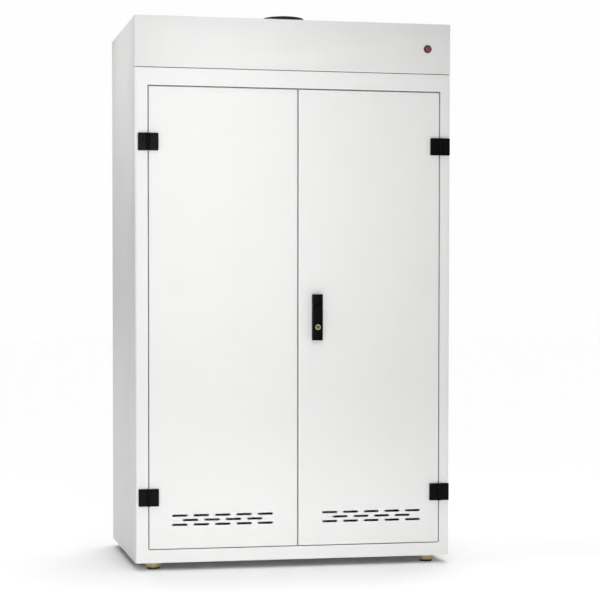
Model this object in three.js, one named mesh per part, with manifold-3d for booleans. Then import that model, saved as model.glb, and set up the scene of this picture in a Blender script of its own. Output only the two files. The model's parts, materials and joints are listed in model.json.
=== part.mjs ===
// Chemical storage cabinet: two hinged doors, rod lock, roof fan, shelves and spill tray.
// Millimetres, +Z up. X runs to the right, Y to the back, Z = 0 is the floor under the feet.
import * as THREE from 'three';
import { mergeVertices } from 'three/addons/utils/BufferGeometryUtils.js';
import Module from 'manifold-3d';

const wasm = await Module();
wasm.setup();

// Whole cabinet
const BODY_WIDTH = 1115;
const BODY_DEPTH = 700;
const BODY_HEIGHT = 1873;
const FOOT_HEIGHT = 27;
const SHEET = 1.5;
const FLANGE = 20;
// Clearance that every seated face keeps to its seat
const SEAT = 0.3;
// How far a cut runs past the wall that it goes through
const OVERRUN = 4;

// Front face: returns, header and door seams, measured in from the body's nearest edge or its middle
const FACE_RETURN = 35;
const HEADER_SEAM_BELOW_TOP = 175.5;
const HEADER_SEAM_GAP = 2.5;
const LEFT_SEAM_INSET = 45;
const RIGHT_SEAM_INSET = 37;
const MEETING_SEAM_OFFSET = 10.5;
const DOOR_BOTTOM_SEAM = 46.5;
const DOOR_TOP_SEAM_BELOW_TOP = 237.5;
const DOOR_GAP = 3;
const DOOR_THICKNESS = 20;
const STOP_WIDTH = 18;
const GASKET_THICKNESS = 2.4;
const GASKET_WIDTH = 12;
const GASKET_INSET = 3;

// Sides of the round pieces: full ones and small ones
const ROUND_SIDES = 20;
const SMALL_SIDES = 8;

// Vent slots in the doors
const SLOT_LENGTH = 53.5;
const SLOT_HEIGHT = 8;
const SLOT_PITCH = 75;
const SLOT_ROW_PITCH = 15.8;
const SLOT_MIDDLE_HEIGHT = 146;
const SLOT_ROW_COUNT = 3;
const SLOT_SIDE_MARGIN = 75;
const SLOT_END_STEPS = 2;
const LEFT_SLOTS_OUTWARD = 4;
const RIGHT_SLOTS_OUTWARD = 9;
const WINDOW_MARGIN = 12;

// Hinges
const HINGE_WIDTH = 70;
const HINGE_HEIGHT = 60;
const HINGE_UPPER_BELOW_TOP = 429.5;
const HINGE_LOWER_HEIGHT = 226;
const HINGE_AXIS_PROUD = 7.5;
const LEAF_THICKNESS = 6.7;
const LEAF_PARTING = 2;
const KNUCKLE_RADIUS = 6.5;
const KNUCKLE_CLEARANCE = 0.6;
const KNUCKLE_LENGTH = 15;
const HINGE_PIN_RADIUS = 2.5;
const HINGE_PIN_PROUD = 1.5;
const RUNNING_CLEARANCE = 0.4;

// Lever handle and lock
const HANDLE_WIDTH = 35;
const HANDLE_HEIGHT = 160;
const HANDLE_TOP_HEIGHT = 924;
const HANDLE_FROM_SEAM = 66.5;
const PLATE_THICKNESS = 6;
const LEVER_THICKNESS = 16;
const HEAD_HEIGHT = 40;
const SPINDLE_RADIUS = 6;
const SPINDLE_BELOW_TOP = 20;
const EAR_WIDTH = 7;
const LEVER_PIN_RADIUS = 2.5;
const LEVER_JOINT_CLEARANCE = 0.5;
const CYLINDER_BELOW_TOP = 114;
const CYLINDER_RADIUS = 9.5;
const CYLINDER_PROUD = 1;
const KEYWAY_WIDTH = 2;
const KEYWAY_HEIGHT = 9;
const KEYWAY_DEPTH = 6;

// Rod drive
const GEAR_MODULE = 2;
const PINION_TEETH = 12;
const PINION_THICKNESS = 6;
const PINION_DEPTH = 6;
const PINION_END_PLAY = 1;
const SPINDLE_TAIL = 1.5;
const TOOTH_HEIGHT_SHARE = 0.8;
const ROOT_DEPTH_SHARE = 1.1;
const TOOTH_ROOT_SHARE = 0.44;
const TOOTH_TIP_SHARE = 0.16;
const ROD_WIDTH = 8;
const GEARBOX_HALF_WIDTH = 30;
const GEARBOX_HALF_HEIGHT = 33;
const ROD_TAIL = 28;
const RACK_LEAD = 7;
const ROD_CLEARANCE = 0.4;

// Slide bolts of the left door
const BOLT_WIDTH = 10;
const BOLT_THICKNESS = 6;
const BOLT_LENGTH = 110;
const BOLT_FROM_SEAM = 40;
const BOLT_TRAVEL = 15;
const BOLT_KNOB_LENGTH = 10;
const BOLT_KNOB_BELOW_TIP = 70;
const BOLT_KNOB_PROUD = 9;
const LUG_WALL = 2;
const LUG_HEIGHT = 10;
const LUG_BELOW_TIP = 84;
const BOLT_KNOB_WIDTH = 8;

// Floor pan, ceiling and roof
const FLOOR_DECK_HEIGHT = 40;
const GUSSET_SIZE = 110;
const CEILING_BELOW_TOP = 210;
const INTAKE_SLOT_LENGTH = 96;
const INTAKE_SLOT_WIDTH = 8;
const INTAKE_SLOT_PITCH = 18;
const INTAKE_SLOT_COUNT = 7;

// Feet
const FOOT_SIDE_INSET = 68;
const FOOT_FRONT_INSET = 58;
const CUP_TOP_RADIUS = 31;
const CUP_WAIST_RADIUS = 26;
const CUP_BOTTOM_RADIUS = 21;
const PAD_RADIUS = 22;
const PAD_RECESS_RADIUS = 17;
const PAD_HEIGHT = 6;
const PAD_SPIGOT_HEIGHT = 2;
const CUP_RIM_DROP = 3;
const STEM_RADIUS = 5;
const STEM_RISE = 16;
const NUT_RADIUS = 9;
const NUT_HEIGHT = 8;

// Uprights, shelves and spill tray
const UPRIGHT_WIDTH = 30;
const UPRIGHT_DEPTH = 12;
const UPRIGHT_FRONT = 130;
const UPRIGHT_REAR_FROM_BACK = 155;
const UPRIGHT_SLOT_PITCH = 100;
const UPRIGHT_SLOT_FIRST = 90;
const UPRIGHT_SLOT_LAST_GAP = 80;
const UPRIGHT_SLOT_HEIGHT = 12;
const UPRIGHT_SLOT_WIDTH = 14;
const SHELF_NAMES = ['lower', 'middle', 'upper'];
const SLOT_COUNT_PER_SHELF = 4;
const SHELF_SIDE_GAP = 1;
const SHELF_FRONT = 95;
const SHELF_FROM_BACK = 90;
const SHELF_LIP = 25;
const TAB_LENGTH = 6;
const TAB_HEIGHT = 6;
const TAB_WIDTH = 12;
const TRAY_SIDE_GAP = 18;
const TRAY_FRONT = 55;
const TRAY_FROM_BACK = 40;
const TRAY_HEIGHT = 45;

// Fan and roof outlet
const FAN_FROM_FRONT = 215;
const HOUSING_RADIUS = 80;
const HOUSING_WALL = 2;
const HOUSING_FLANGE_SIZE = 190;
const SPOKE_WIDTH = 10;
const SPOKE_HEIGHT = 12;
const MOTOR_RADIUS = 32;
const MOTOR_HEIGHT = 64;
const MOTOR_RING_WALL = 3;
const MOTOR_RING_HEIGHT = 20;
const MOTOR_BELOW_ROOF = 32;
const MOTOR_LEDGE = 4;
const MOTOR_SHAFT_RADIUS = 4;
const MOTOR_SHAFT_LENGTH = 22;
const HUB_RADIUS = 30;
const HUB_HEIGHT = 26;
const HUB_BELOW_MOTOR = 8;
const BLADE_COUNT = 7;
const BLADE_THICKNESS = 2.5;
const BLADE_CHORD = 44;
const BLADE_PITCH_DEGREES = 28;
const BLADE_TIP_GAP = 3;
const BLADE_ROOT_SHARE = 0.8;
const COLLAR_RADIUS = 74;
const COLLAR_WALL = 3;
const COLLAR_SHOULDER_HEIGHT = 33;
const COLLAR_NECK_RADIUS = 47;
const COLLAR_NECK_HEIGHT = 35.5;
const COLLAR_HEIGHT = 37;
const COLLAR_SPIGOT_RADIUS = 66;
const COLLAR_SPIGOT_DEPTH = 12;
const ROOF_HOLE_RADIUS = 67;

// Push button on the header
const SWITCH_FROM_RIGHT = 82.5;
const SWITCH_BELOW_TOP = 88;
const BEZEL_RADIUS = 14.25;
const BEZEL_THICKNESS = 4;
const SWITCH_BODY_RADIUS = 11;
const SWITCH_BODY_LENGTH = 42;
const BUTTON_RADIUS = 8.5;
const BUTTON_CLEARANCE = 0.5;
const BUTTON_PROUD = 3.5;
const BUTTON_DOME = 1;
const BUTTON_LENGTH = 16;
const BUTTON_TRAVEL = 3;

// Power inlet in the back panel
const INLET_FROM_LEFT = 160;
const INLET_BELOW_TOP = 83;
const INLET_OPENING_WIDTH = 28;
const INLET_OPENING_HEIGHT = 21;
const INLET_FLANGE_WIDTH = 50;
const INLET_FLANGE_THICKNESS = 3;
const INLET_BODY_LENGTH = 24;
const INLET_WALL = 2.5;
const INLET_PIN_THICKNESS = 2;
const INLET_PIN_HEIGHT = 4;
const INLET_PIN_LENGTH = 14;
const INLET_PIN_SPACING = 7;

// Places worked out from the sizes above, in a frame whose Y = 0 is the front face
const left = -BODY_WIDTH / 2;
const right = BODY_WIDTH / 2;
const base = FOOT_HEIGHT;
const top = base + BODY_HEIGHT;
const handleProud = PLATE_THICKNESS + LEVER_THICKNESS + 2 * SEAT;
const frameTop = top - HEADER_SEAM_BELOW_TOP - HEADER_SEAM_GAP / 2;
const headerBottom = frameTop + HEADER_SEAM_GAP;
const openLeft = left + LEFT_SEAM_INSET - DOOR_GAP / 2;
const openRight = right - RIGHT_SEAM_INSET + DOOR_GAP / 2;
const openBottom = base + DOOR_BOTTOM_SEAM - DOOR_GAP / 2;
const openTop = top - DOOR_TOP_SEAM_BELOW_TOP + DOOR_GAP / 2;
const doorBottom = openBottom + DOOR_GAP;
const doorTop = openTop - DOOR_GAP;
const stopFace = DOOR_THICKNESS + GASKET_THICKNESS + 2 * SEAT;
const innerSide = right - SHEET - SEAT;
const panFront = FACE_RETURN + SEAT;
const panBack = BODY_DEPTH - SHEET - SEAT;
const floorTop = base + FLOOR_DECK_HEIGHT;
const ceilingBottom = top - CEILING_BELOW_TOP;
const uprightRear = BODY_DEPTH - UPRIGHT_REAR_FROM_BACK;
const inletX = left + INLET_FROM_LEFT;
const inletZ = top - INLET_BELOW_TOP;
const motorBottom = top - SHEET - MOTOR_BELOW_ROOF - MOTOR_HEIGHT;
const hubTop = motorBottom - HUB_BELOW_MOTOR;
const footPlaces = [-1, 1].flatMap((side) => [FOOT_FRONT_INSET, BODY_DEPTH - FOOT_FRONT_INSET].map((y) => (
  [side * (right - FOOT_SIDE_INSET), y]
)));

// Materials
const white = new THREE.MeshStandardMaterial({ color: 0xf1f1ef, roughness: 0.38, metalness: 0.05 });
const black = new THREE.MeshStandardMaterial({ color: 0x111112, roughness: 0.45, metalness: 0.1 });
const rubber = new THREE.MeshStandardMaterial({ color: 0x1a1918, roughness: 0.9, metalness: 0 });
const steel = new THREE.MeshStandardMaterial({ color: 0xb8babc, roughness: 0.35, metalness: 0.9 });
const gold = new THREE.MeshStandardMaterial({ color: 0xc9a45a, roughness: 0.35, metalness: 0.85 });
const brass = new THREE.MeshStandardMaterial({ color: 0xb8ab62, roughness: 0.3, metalness: 0.9 });
const red = new THREE.MeshStandardMaterial({ color: 0xb3261e, roughness: 0.25, metalness: 0 });
const maroon = new THREE.MeshStandardMaterial({ color: 0x4a1512, roughness: 0.35, metalness: 0.1 });

// A closed three.js geometry as a solid that can be cut and joined
function solidOf(geometry) {
  const bare = geometry.clone();
  bare.deleteAttribute('normal');
  bare.deleteAttribute('uv');
  const merged = mergeVertices(bare);
  return new wasm.Manifold(new wasm.Mesh({
    numProp: 3,
    vertProperties: new Float32Array(merged.attributes.position.array),
    triVerts: new Uint32Array(merged.index.array),
  }));
}

// A box between two corners
function block([x0, x1], [y0, y1], [z0, z1]) {
  const geometry = new THREE.BoxGeometry(x1 - x0, y1 - y0, z1 - z0);
  geometry.translate((x0 + x1) / 2, (y0 + y1) / 2, (z0 + z1) / 2);
  return solidOf(geometry);
}

// A vertical round bar
function barZ(radius, [z0, z1], x, y, sides) {
  const geometry = new THREE.CylinderGeometry(radius, radius, z1 - z0, sides);
  geometry.rotateX(Math.PI / 2);
  geometry.translate(x, y, (z0 + z1) / 2);
  return solidOf(geometry);
}

// A round bar from front to back
function barY(radius, x, [y0, y1], z, sides) {
  const geometry = new THREE.CylinderGeometry(radius, radius, y1 - y0, sides);
  geometry.translate(x, (y0 + y1) / 2, z);
  return solidOf(geometry);
}

// A round bar from left to right
function barX(radius, [x0, x1], y, z, sides) {
  const geometry = new THREE.CylinderGeometry(radius, radius, x1 - x0, sides);
  geometry.rotateZ(Math.PI / 2);
  geometry.translate((x0 + x1) / 2, y, z);
  return solidOf(geometry);
}

// A turned piece about the vertical, its closed profile given as [radius, height] points
function turnedZ(profile, sides) {
  const geometry = new THREE.LatheGeometry(profile.map(([r, z]) => new THREE.Vector2(r, z)), sides);
  geometry.rotateX(Math.PI / 2);
  return solidOf(geometry);
}

// A flat outline in X and Z, as deep as its Y span
function plateY(shape, [y0, y1]) {
  const geometry = new THREE.ExtrudeGeometry(shape, {
    depth: y1 - y0,
    bevelEnabled: false,
    curveSegments: SLOT_END_STEPS,
  });
  geometry.rotateX(Math.PI / 2);
  geometry.translate(0, y1, 0);
  return solidOf(geometry);
}

function join(solids) {
  return solids.reduce((whole, solid) => whole.add(solid));
}

function cut(whole, solids) {
  return solids.reduce((rest, solid) => rest.subtract(solid), whole);
}

function meshOf(name, solid, material) {
  const { vertProperties, triVerts } = solid.getMesh();
  const geometry = new THREE.BufferGeometry();
  geometry.setAttribute('position', new THREE.BufferAttribute(new Float32Array(vertProperties), 3));
  geometry.setIndex(new THREE.BufferAttribute(new Uint32Array(triVerts), 1));
  const mesh = new THREE.Mesh(geometry, material);
  mesh.name = name;
  return mesh;
}

// A span moved out at both ends, or in where the distance is negative
function grown([low, high], distance) {
  return [low - distance, high + distance];
}

// A span centred on a place
function about(centre, size) {
  return [centre - size / 2, centre + size / 2];
}

// A span measured outwards from the middle, on the left (-1) or on the right (1)
function outward(side, near, far) {
  return side < 0 ? [-far, -near] : [near, far];
}

// A rectangular ring in X and Z, as deep as its Y span
function ring(outerX, outerZ, innerX, innerZ, spanY) {
  return block(outerX, spanY, outerZ).subtract(block(innerX, grown(spanY, OVERRUN), innerZ));
}

// Folded sheet in the form of a box with one side left open, named by its axis and end
function pan(spanX, spanY, spanZ, openAxis, openEnd) {
  const hollow = [spanX, spanY, spanZ].map((span, index) => {
    const inner = grown(span, -SHEET);
    if ('xyz'[index] !== openAxis) {
      return inner;
    }
    return openEnd === 'high' ? [inner[0], span[1] + OVERRUN] : [span[0] - OVERRUN, inner[1]];
  });
  return block(spanX, spanY, spanZ).subtract(block(...hollow));
}

// Where the lock's rods and the left door's bolts run
const handleX = MEETING_SEAM_OFFSET + HANDLE_FROM_SEAM;
const handleTop = base + HANDLE_TOP_HEIGHT;
const spindleZ = handleTop - SPINDLE_BELOW_TOP;
const pitchRadius = (GEAR_MODULE * PINION_TEETH) / 2;
const toothHeight = GEAR_MODULE * TOOTH_HEIGHT_SHARE;
const rootDepth = GEAR_MODULE * ROOT_DEPTH_SHARE;
const rodInner = pitchRadius + rootDepth;
const rodMiddle = rodInner + ROD_WIDTH / 2;
const rodTravel = (pitchRadius * Math.PI) / 2;
const rodSpanY = [PINION_DEPTH, PINION_DEPTH + PINION_THICKNESS];
const boltX = MEETING_SEAM_OFFSET - BOLT_FROM_SEAM;
const boltBack = DOOR_THICKNESS - SHEET - ROD_CLEARANCE;
const boltSpanY = [boltBack - BOLT_THICKNESS, boltBack];

// Holes for rods and bolts through a level sheet whose lower and upper faces are given
function rodHoles(end, sheetSpan) {
  const side = end === 'upper' ? 1 : -1;
  const rod = block(
    grown(about(handleX + side * rodMiddle, ROD_WIDTH), ROD_CLEARANCE),
    grown(rodSpanY, ROD_CLEARANCE),
    grown(sheetSpan, OVERRUN),
  );
  const bolt = block(
    grown(about(boltX, BOLT_WIDTH), ROD_CLEARANCE),
    grown(boltSpanY, ROD_CLEARANCE),
    grown(sheetSpan, OVERRUN),
  );
  return { rod, bolt };
}

// Face sheet of the frame or the header: the face, its returns and its hems at both sides
function faceSheet(spanZ) {
  const spanX = [left, right];
  const face = block(spanX, [0, SHEET], spanZ);
  const returns = ring(spanX, spanZ, grown(spanX, -SHEET), grown(spanZ, -SHEET), [0, FACE_RETURN]);
  const hems = [-1, 1].map((side) => (
    block(outward(side, right - FLANGE, right), [FACE_RETURN - SHEET, FACE_RETURN], spanZ)
  ));
  return join([face, returns, ...hems]);
}

function frontFrame() {
  const openX = [openLeft, openRight];
  const openZ = [openBottom, openTop];
  const jambX = grown(openX, SHEET);
  const jambZ = grown(openZ, SHEET);
  const jamb = ring(jambX, jambZ, openX, openZ, [0, stopFace + SHEET]);
  const stop = ring(
    jambX,
    jambZ,
    grown(openX, -STOP_WIDTH),
    grown(openZ, -STOP_WIDTH),
    [stopFace, stopFace + SHEET],
  );
  const opened = faceSheet([base, frameTop]).subtract(block(openX, [-OVERRUN, SHEET + OVERRUN], openZ));
  const upper = rodHoles('upper', [openTop, openTop + SHEET]);
  const lower = rodHoles('lower', [openBottom - SHEET, openBottom]);
  return cut(join([opened, jamb, stop]), [upper.rod, upper.bolt, lower.rod, lower.bolt]);
}

function headerPanel() {
  const hole = barY(
    SWITCH_BODY_RADIUS + RUNNING_CLEARANCE,
    right - SWITCH_FROM_RIGHT,
    [-OVERRUN, SHEET + OVERRUN],
    top - SWITCH_BELOW_TOP,
    ROUND_SIDES,
  );
  return faceSheet([headerBottom, top]).subtract(hole);
}

function sidePanel(side) {
  const sheet = block(outward(side, right - SHEET, right), [panFront, BODY_DEPTH], [base, top]);
  const flange = block(
    outward(side, right - FLANGE, right),
    [panFront, panFront + SHEET],
    [floorTop + SEAT, top - FLANGE - SEAT],
  );
  return sheet.add(flange);
}

function backPanel() {
  const sheet = block([-innerSide, innerSide], [BODY_DEPTH - SHEET, BODY_DEPTH], [base, top]);
  const flanges = [-1, 1].map((side) => block(
    outward(side, innerSide - SHEET, innerSide),
    [BODY_DEPTH - FLANGE, BODY_DEPTH],
    [floorTop + SEAT, top - FLANGE - SEAT],
  ));
  const inlet = block(
    about(inletX, INLET_OPENING_WIDTH),
    [BODY_DEPTH - SHEET - OVERRUN, BODY_DEPTH + OVERRUN],
    about(inletZ, INLET_OPENING_HEIGHT),
  );
  return join([sheet, ...flanges]).subtract(inlet);
}

function roofPanel() {
  const hole = barZ(ROOF_HOLE_RADIUS, grown([top - SHEET, top], OVERRUN), 0, FAN_FROM_FRONT, ROUND_SIDES);
  return pan([-innerSide, innerSide], [panFront, panBack], [top - FLANGE, top], 'z', 'low').subtract(hole);
}

// Deck with its skirt turned down to the base, and a gusset in each corner for a foot
function floorPan() {
  const deck = pan([-innerSide, innerSide], [panFront, panBack], [base, floorTop], 'z', 'low');
  const gussets = [-1, 1].flatMap((side) => [
    [panFront, panFront + GUSSET_SIZE],
    [panBack - GUSSET_SIZE, panBack],
  ].map((spanY) => block(outward(side, innerSide - GUSSET_SIZE, innerSide), spanY, [base, base + SHEET])));
  const holes = footPlaces.map(([x, y]) => (
    barZ(STEM_RADIUS + RUNNING_CLEARANCE, grown([base, base + SHEET], OVERRUN), x, y, SMALL_SIDES)
  ));
  return cut(join([deck, ...gussets]), holes);
}

// Level sheet between the store and the fan compartment, narrowed past the flanges in front and behind
function ceilingPanel() {
  const spanZ = [ceilingBottom, ceilingBottom + SHEET];
  const middle = [panFront + SHEET + SEAT, BODY_DEPTH - FLANGE - SEAT];
  const sheet = block([-innerSide, innerSide], middle, spanZ);
  const frontHalf = right - FLANGE - SEAT;
  const backHalf = innerSide - SHEET - SEAT;
  const front = block([-frontHalf, frontHalf], [SHEET + SEAT, middle[1]], spanZ);
  const rear = block([-backHalf, backHalf], [middle[0], panBack], spanZ);
  const slots = Array.from({ length: INTAKE_SLOT_COUNT }, (_, index) => block(
    about(0, INTAKE_SLOT_LENGTH),
    about(FAN_FROM_FRONT + (index - (INTAKE_SLOT_COUNT - 1) / 2) * INTAKE_SLOT_PITCH, INTAKE_SLOT_WIDTH),
    grown(spanZ, OVERRUN),
  ));
  return cut(join([sheet, front, rear]), slots);
}

// Lower edge of one of the shelf slots
function slotBottom(index) {
  return floorTop + UPRIGHT_SLOT_FIRST + index * UPRIGHT_SLOT_PITCH;
}

// Upright channel, open towards the side panel, with a column of shelf slots
function upright(side, frontEdge) {
  const spanY = [frontEdge, frontEdge + UPRIGHT_WIDTH];
  const channel = pan(
    outward(side, innerSide - UPRIGHT_DEPTH, innerSide),
    spanY,
    [floorTop + SEAT, ceilingBottom - SEAT],
    'x',
    side < 0 ? 'low' : 'high',
  );
  const web = outward(side, innerSide - UPRIGHT_DEPTH, innerSide - UPRIGHT_DEPTH + SHEET);
  const slotRoom = ceilingBottom - UPRIGHT_SLOT_LAST_GAP - slotBottom(0);
  const slotCount = Math.floor(slotRoom / UPRIGHT_SLOT_PITCH) + 1;
  const slots = Array.from({ length: slotCount }, (_, index) => block(
    grown(web, OVERRUN / 2),
    about(frontEdge + UPRIGHT_WIDTH / 2, UPRIGHT_SLOT_WIDTH),
    [slotBottom(index), slotBottom(index) + UPRIGHT_SLOT_HEIGHT],
  ));
  return cut(channel, slots);
}

// Tray shelf whose four end tabs hang in the slots of the uprights
function shelf(slotIndex) {
  const half = innerSide - UPRIGHT_DEPTH - SHELF_SIDE_GAP;
  const bottom = slotBottom(slotIndex) + SEAT;
  const spanY = [SHELF_FRONT, BODY_DEPTH - SHELF_FROM_BACK];
  const body = pan([-half, half], spanY, [bottom, bottom + SHELF_LIP], 'z', 'high');
  const tabs = [-1, 1].flatMap((side) => [UPRIGHT_FRONT, uprightRear].map((edge) => block(
    outward(side, half - SHEET, half + TAB_LENGTH),
    about(edge + UPRIGHT_WIDTH / 2, TAB_WIDTH),
    [bottom, bottom + TAB_HEIGHT],
  )));
  return join([body, ...tabs]);
}

function spillTray() {
  const half = innerSide - TRAY_SIDE_GAP;
  const bottom = floorTop + SEAT;
  const spanY = [TRAY_FRONT, BODY_DEPTH - TRAY_FROM_BACK];
  return pan([-half, half], spanY, [bottom, bottom + TRAY_HEIGHT], 'z', 'high');
}

// Number of slots in a full row of a leaf; every second row has one fewer
function slotsAcross(spanX) {
  return Math.floor((spanX[1] - spanX[0] - 2 * SLOT_SIDE_MARGIN - SLOT_LENGTH) / SLOT_PITCH) + 1;
}

// Middle of a leaf's vent slots, a little nearer the hinges than the middle of the leaf
function slotsMiddle(spanX) {
  const middle = (spanX[0] + spanX[1]) / 2;
  return middle < 0 ? middle - LEFT_SLOTS_OUTWARD : middle + RIGHT_SLOTS_OUTWARD;
}

// Vent slots of one door
function ventSlots(spanX) {
  const centreX = slotsMiddle(spanX);
  const straight = (SLOT_LENGTH - SLOT_HEIGHT) / 2;
  const shape = new THREE.Shape();
  shape.absarc(straight, 0, SLOT_HEIGHT / 2, -Math.PI / 2, Math.PI / 2, false);
  shape.absarc(-straight, 0, SLOT_HEIGHT / 2, Math.PI / 2, (3 * Math.PI) / 2, false);
  const slot = plateY(shape, [-OVERRUN, SHEET + OVERRUN]);
  const rows = Array.from({ length: SLOT_ROW_COUNT }, (_, row) => row);
  return rows.flatMap((row) => {
    const count = slotsAcross(spanX) - (row % 2);
    const z = base + SLOT_MIDDLE_HEIGHT + (row - (SLOT_ROW_COUNT - 1) / 2) * SLOT_ROW_PITCH;
    const first = centreX - ((count - 1) / 2) * SLOT_PITCH;
    return Array.from({ length: count }, (_, index) => slot.translate([first + index * SLOT_PITCH, 0, z]));
  });
}

// Outer skin of a door, folded back at its four edges and open behind
function doorSkin(spanX, holes) {
  const body = pan(spanX, [0, DOOR_THICKNESS], [doorBottom, doorTop], 'y', 'high');
  return cut(body, [...ventSlots(spanX), ...holes]);
}

// Inner sheet of a door, let into the back of the skin, with a window behind the vent slots
function doorLiner(spanX) {
  const inset = SHEET + SEAT;
  const spanY = [DOOR_THICKNESS - SHEET, DOOR_THICKNESS];
  const sheet = block(grown(spanX, -inset), spanY, grown([doorBottom, doorTop], -inset));
  const fieldWidth = (slotsAcross(spanX) - 1) * SLOT_PITCH + SLOT_LENGTH;
  const fieldHeight = (SLOT_ROW_COUNT - 1) * SLOT_ROW_PITCH + SLOT_HEIGHT;
  const window = block(
    grown(about(slotsMiddle(spanX), fieldWidth), WINDOW_MARGIN),
    grown(spanY, OVERRUN),
    grown(about(base + SLOT_MIDDLE_HEIGHT, fieldHeight), WINDOW_MARGIN),
  );
  return sheet.subtract(window);
}

// Places along a slide bolt, counted back from its tip towards the middle of the door
function boltSpan(end, near, far) {
  return end === 'upper' ? [doorTop - far, doorTop - near] : [doorBottom + near, doorBottom + far];
}

function slideBolt(end) {
  const bar = block(about(boltX, BOLT_WIDTH), boltSpanY, boltSpan(end, 0, BOLT_LENGTH));
  const knob = block(
    about(boltX, BOLT_KNOB_WIDTH),
    [boltSpanY[0], DOOR_THICKNESS + BOLT_KNOB_PROUD],
    boltSpan(end, BOLT_KNOB_BELOW_TIP, BOLT_KNOB_BELOW_TIP + BOLT_KNOB_LENGTH),
  );
  return bar.add(knob);
}

// Guide lugs and knob slots for both bolts, on the left door's liner
function leftLiner(spanX) {
  const ends = ['upper', 'lower'];
  const lugY = [boltSpanY[0] - ROD_CLEARANCE - LUG_WALL, DOOR_THICKNESS - SHEET];
  const lugs = ends.map((end) => block(
    grown(about(boltX, BOLT_WIDTH), ROD_CLEARANCE + LUG_WALL),
    lugY,
    boltSpan(end, LUG_BELOW_TIP, LUG_BELOW_TIP + LUG_HEIGHT),
  ));
  const bores = ends.map((end) => block(
    grown(about(boltX, BOLT_WIDTH), ROD_CLEARANCE),
    [boltSpanY[0] - ROD_CLEARANCE, DOOR_THICKNESS - SHEET],
    grown(boltSpan(end, LUG_BELOW_TIP, LUG_BELOW_TIP + LUG_HEIGHT), OVERRUN),
  ));
  const slots = ends.map((end) => block(
    grown(about(boltX, BOLT_KNOB_WIDTH), ROD_CLEARANCE),
    grown([DOOR_THICKNESS - SHEET, DOOR_THICKNESS], OVERRUN),
    grown(
      boltSpan(end, BOLT_KNOB_BELOW_TIP - BOLT_TRAVEL, BOLT_KNOB_BELOW_TIP + BOLT_KNOB_LENGTH),
      ROD_CLEARANCE,
    ),
  ));
  return cut(doorLiner(spanX), slots).add(cut(join(lugs), bores));
}

// Knuckles of the frame leaf at both ends of a hinge, and of the door leaf in its middle
const halfHinge = HINGE_HEIGHT / 2;
const endKnuckles = [[-halfHinge, KNUCKLE_LENGTH - halfHinge], [halfHinge - KNUCKLE_LENGTH, halfHinge]];
const middleKnuckles = [grown([KNUCKLE_LENGTH - halfHinge, halfHinge - KNUCKLE_LENGTH], -SEAT)];

// Hinge pieces, built about an axis at X = 0, Y = 0 with the leaf's own side to the right (1) or left (-1)
function hingeLeaf(side, knuckleSpans, otherSpans) {
  const backFace = HINGE_AXIS_PROUD - SEAT;
  const plate = block(
    outward(side, LEAF_PARTING / 2, HINGE_WIDTH / 2),
    [backFace - LEAF_THICKNESS, backFace],
    about(0, HINGE_HEIGHT),
  );
  const others = otherSpans.map((span) => (
    barZ(KNUCKLE_RADIUS + KNUCKLE_CLEARANCE, grown(span, SEAT), 0, 0, ROUND_SIDES)
  ));
  const knuckles = knuckleSpans.map((span) => barZ(KNUCKLE_RADIUS, span, 0, 0, ROUND_SIDES));
  const bore = barZ(
    HINGE_PIN_RADIUS + RUNNING_CLEARANCE,
    grown(about(0, HINGE_HEIGHT), OVERRUN),
    0,
    0,
    SMALL_SIDES,
  );
  return join([cut(plate, others), ...knuckles]).subtract(bore);
}

function hingePin() {
  return barZ(
    HINGE_PIN_RADIUS,
    grown(about(0, HINGE_HEIGHT), HINGE_PIN_PROUD),
    0,
    0,
    SMALL_SIDES,
  );
}

// Lever handle: plate, head on its spindle, lever, its pin and the key cylinder
const handleSpanX = about(handleX, HANDLE_WIDTH);
const plateSpanY = [-SEAT - PLATE_THICKNESS, -SEAT];
const leverSpanY = [-handleProud, LEVER_THICKNESS - handleProud];
const leverMiddleY = (leverSpanY[0] + leverSpanY[1]) / 2;
const leverAxisZ = handleTop - HEAD_HEIGHT;
const earRadius = LEVER_THICKNESS / 2;
const cylinderZ = handleTop - CYLINDER_BELOW_TOP;
const gearboxInner = PINION_DEPTH + PINION_THICKNESS + PINION_END_PLAY;
const spindleEnd = gearboxInner + SHEET + SPINDLE_TAIL;

function spindleHole(spanY) {
  return barY(SPINDLE_RADIUS + RUNNING_CLEARANCE, handleX, spanY, spindleZ, ROUND_SIDES);
}

function leverPinBar(radius, spanX) {
  return barX(radius, spanX, leverMiddleY, leverAxisZ, SMALL_SIDES);
}

function handlePlate() {
  const body = block(handleSpanX, plateSpanY, [handleTop - HANDLE_HEIGHT, handleTop]);
  return body.subtract(spindleHole(grown(plateSpanY, OVERRUN)));
}

function spindleHead() {
  const body = block(handleSpanX, leverSpanY, [leverAxisZ, handleTop]);
  const ears = barX(earRadius, handleSpanX, leverMiddleY, leverAxisZ, ROUND_SIDES);
  const slot = block(
    grown(handleSpanX, -EAR_WIDTH),
    grown(leverSpanY, OVERRUN),
    [leverAxisZ - earRadius - OVERRUN, leverAxisZ + earRadius + LEVER_JOINT_CLEARANCE],
  );
  const bore = leverPinBar(LEVER_PIN_RADIUS + RUNNING_CLEARANCE, grown(handleSpanX, OVERRUN));
  const shaft = barY(SPINDLE_RADIUS, handleX, [leverMiddleY, spindleEnd], spindleZ, ROUND_SIDES);
  return cut(body.add(ears), [slot, bore]).add(shaft);
}

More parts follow.
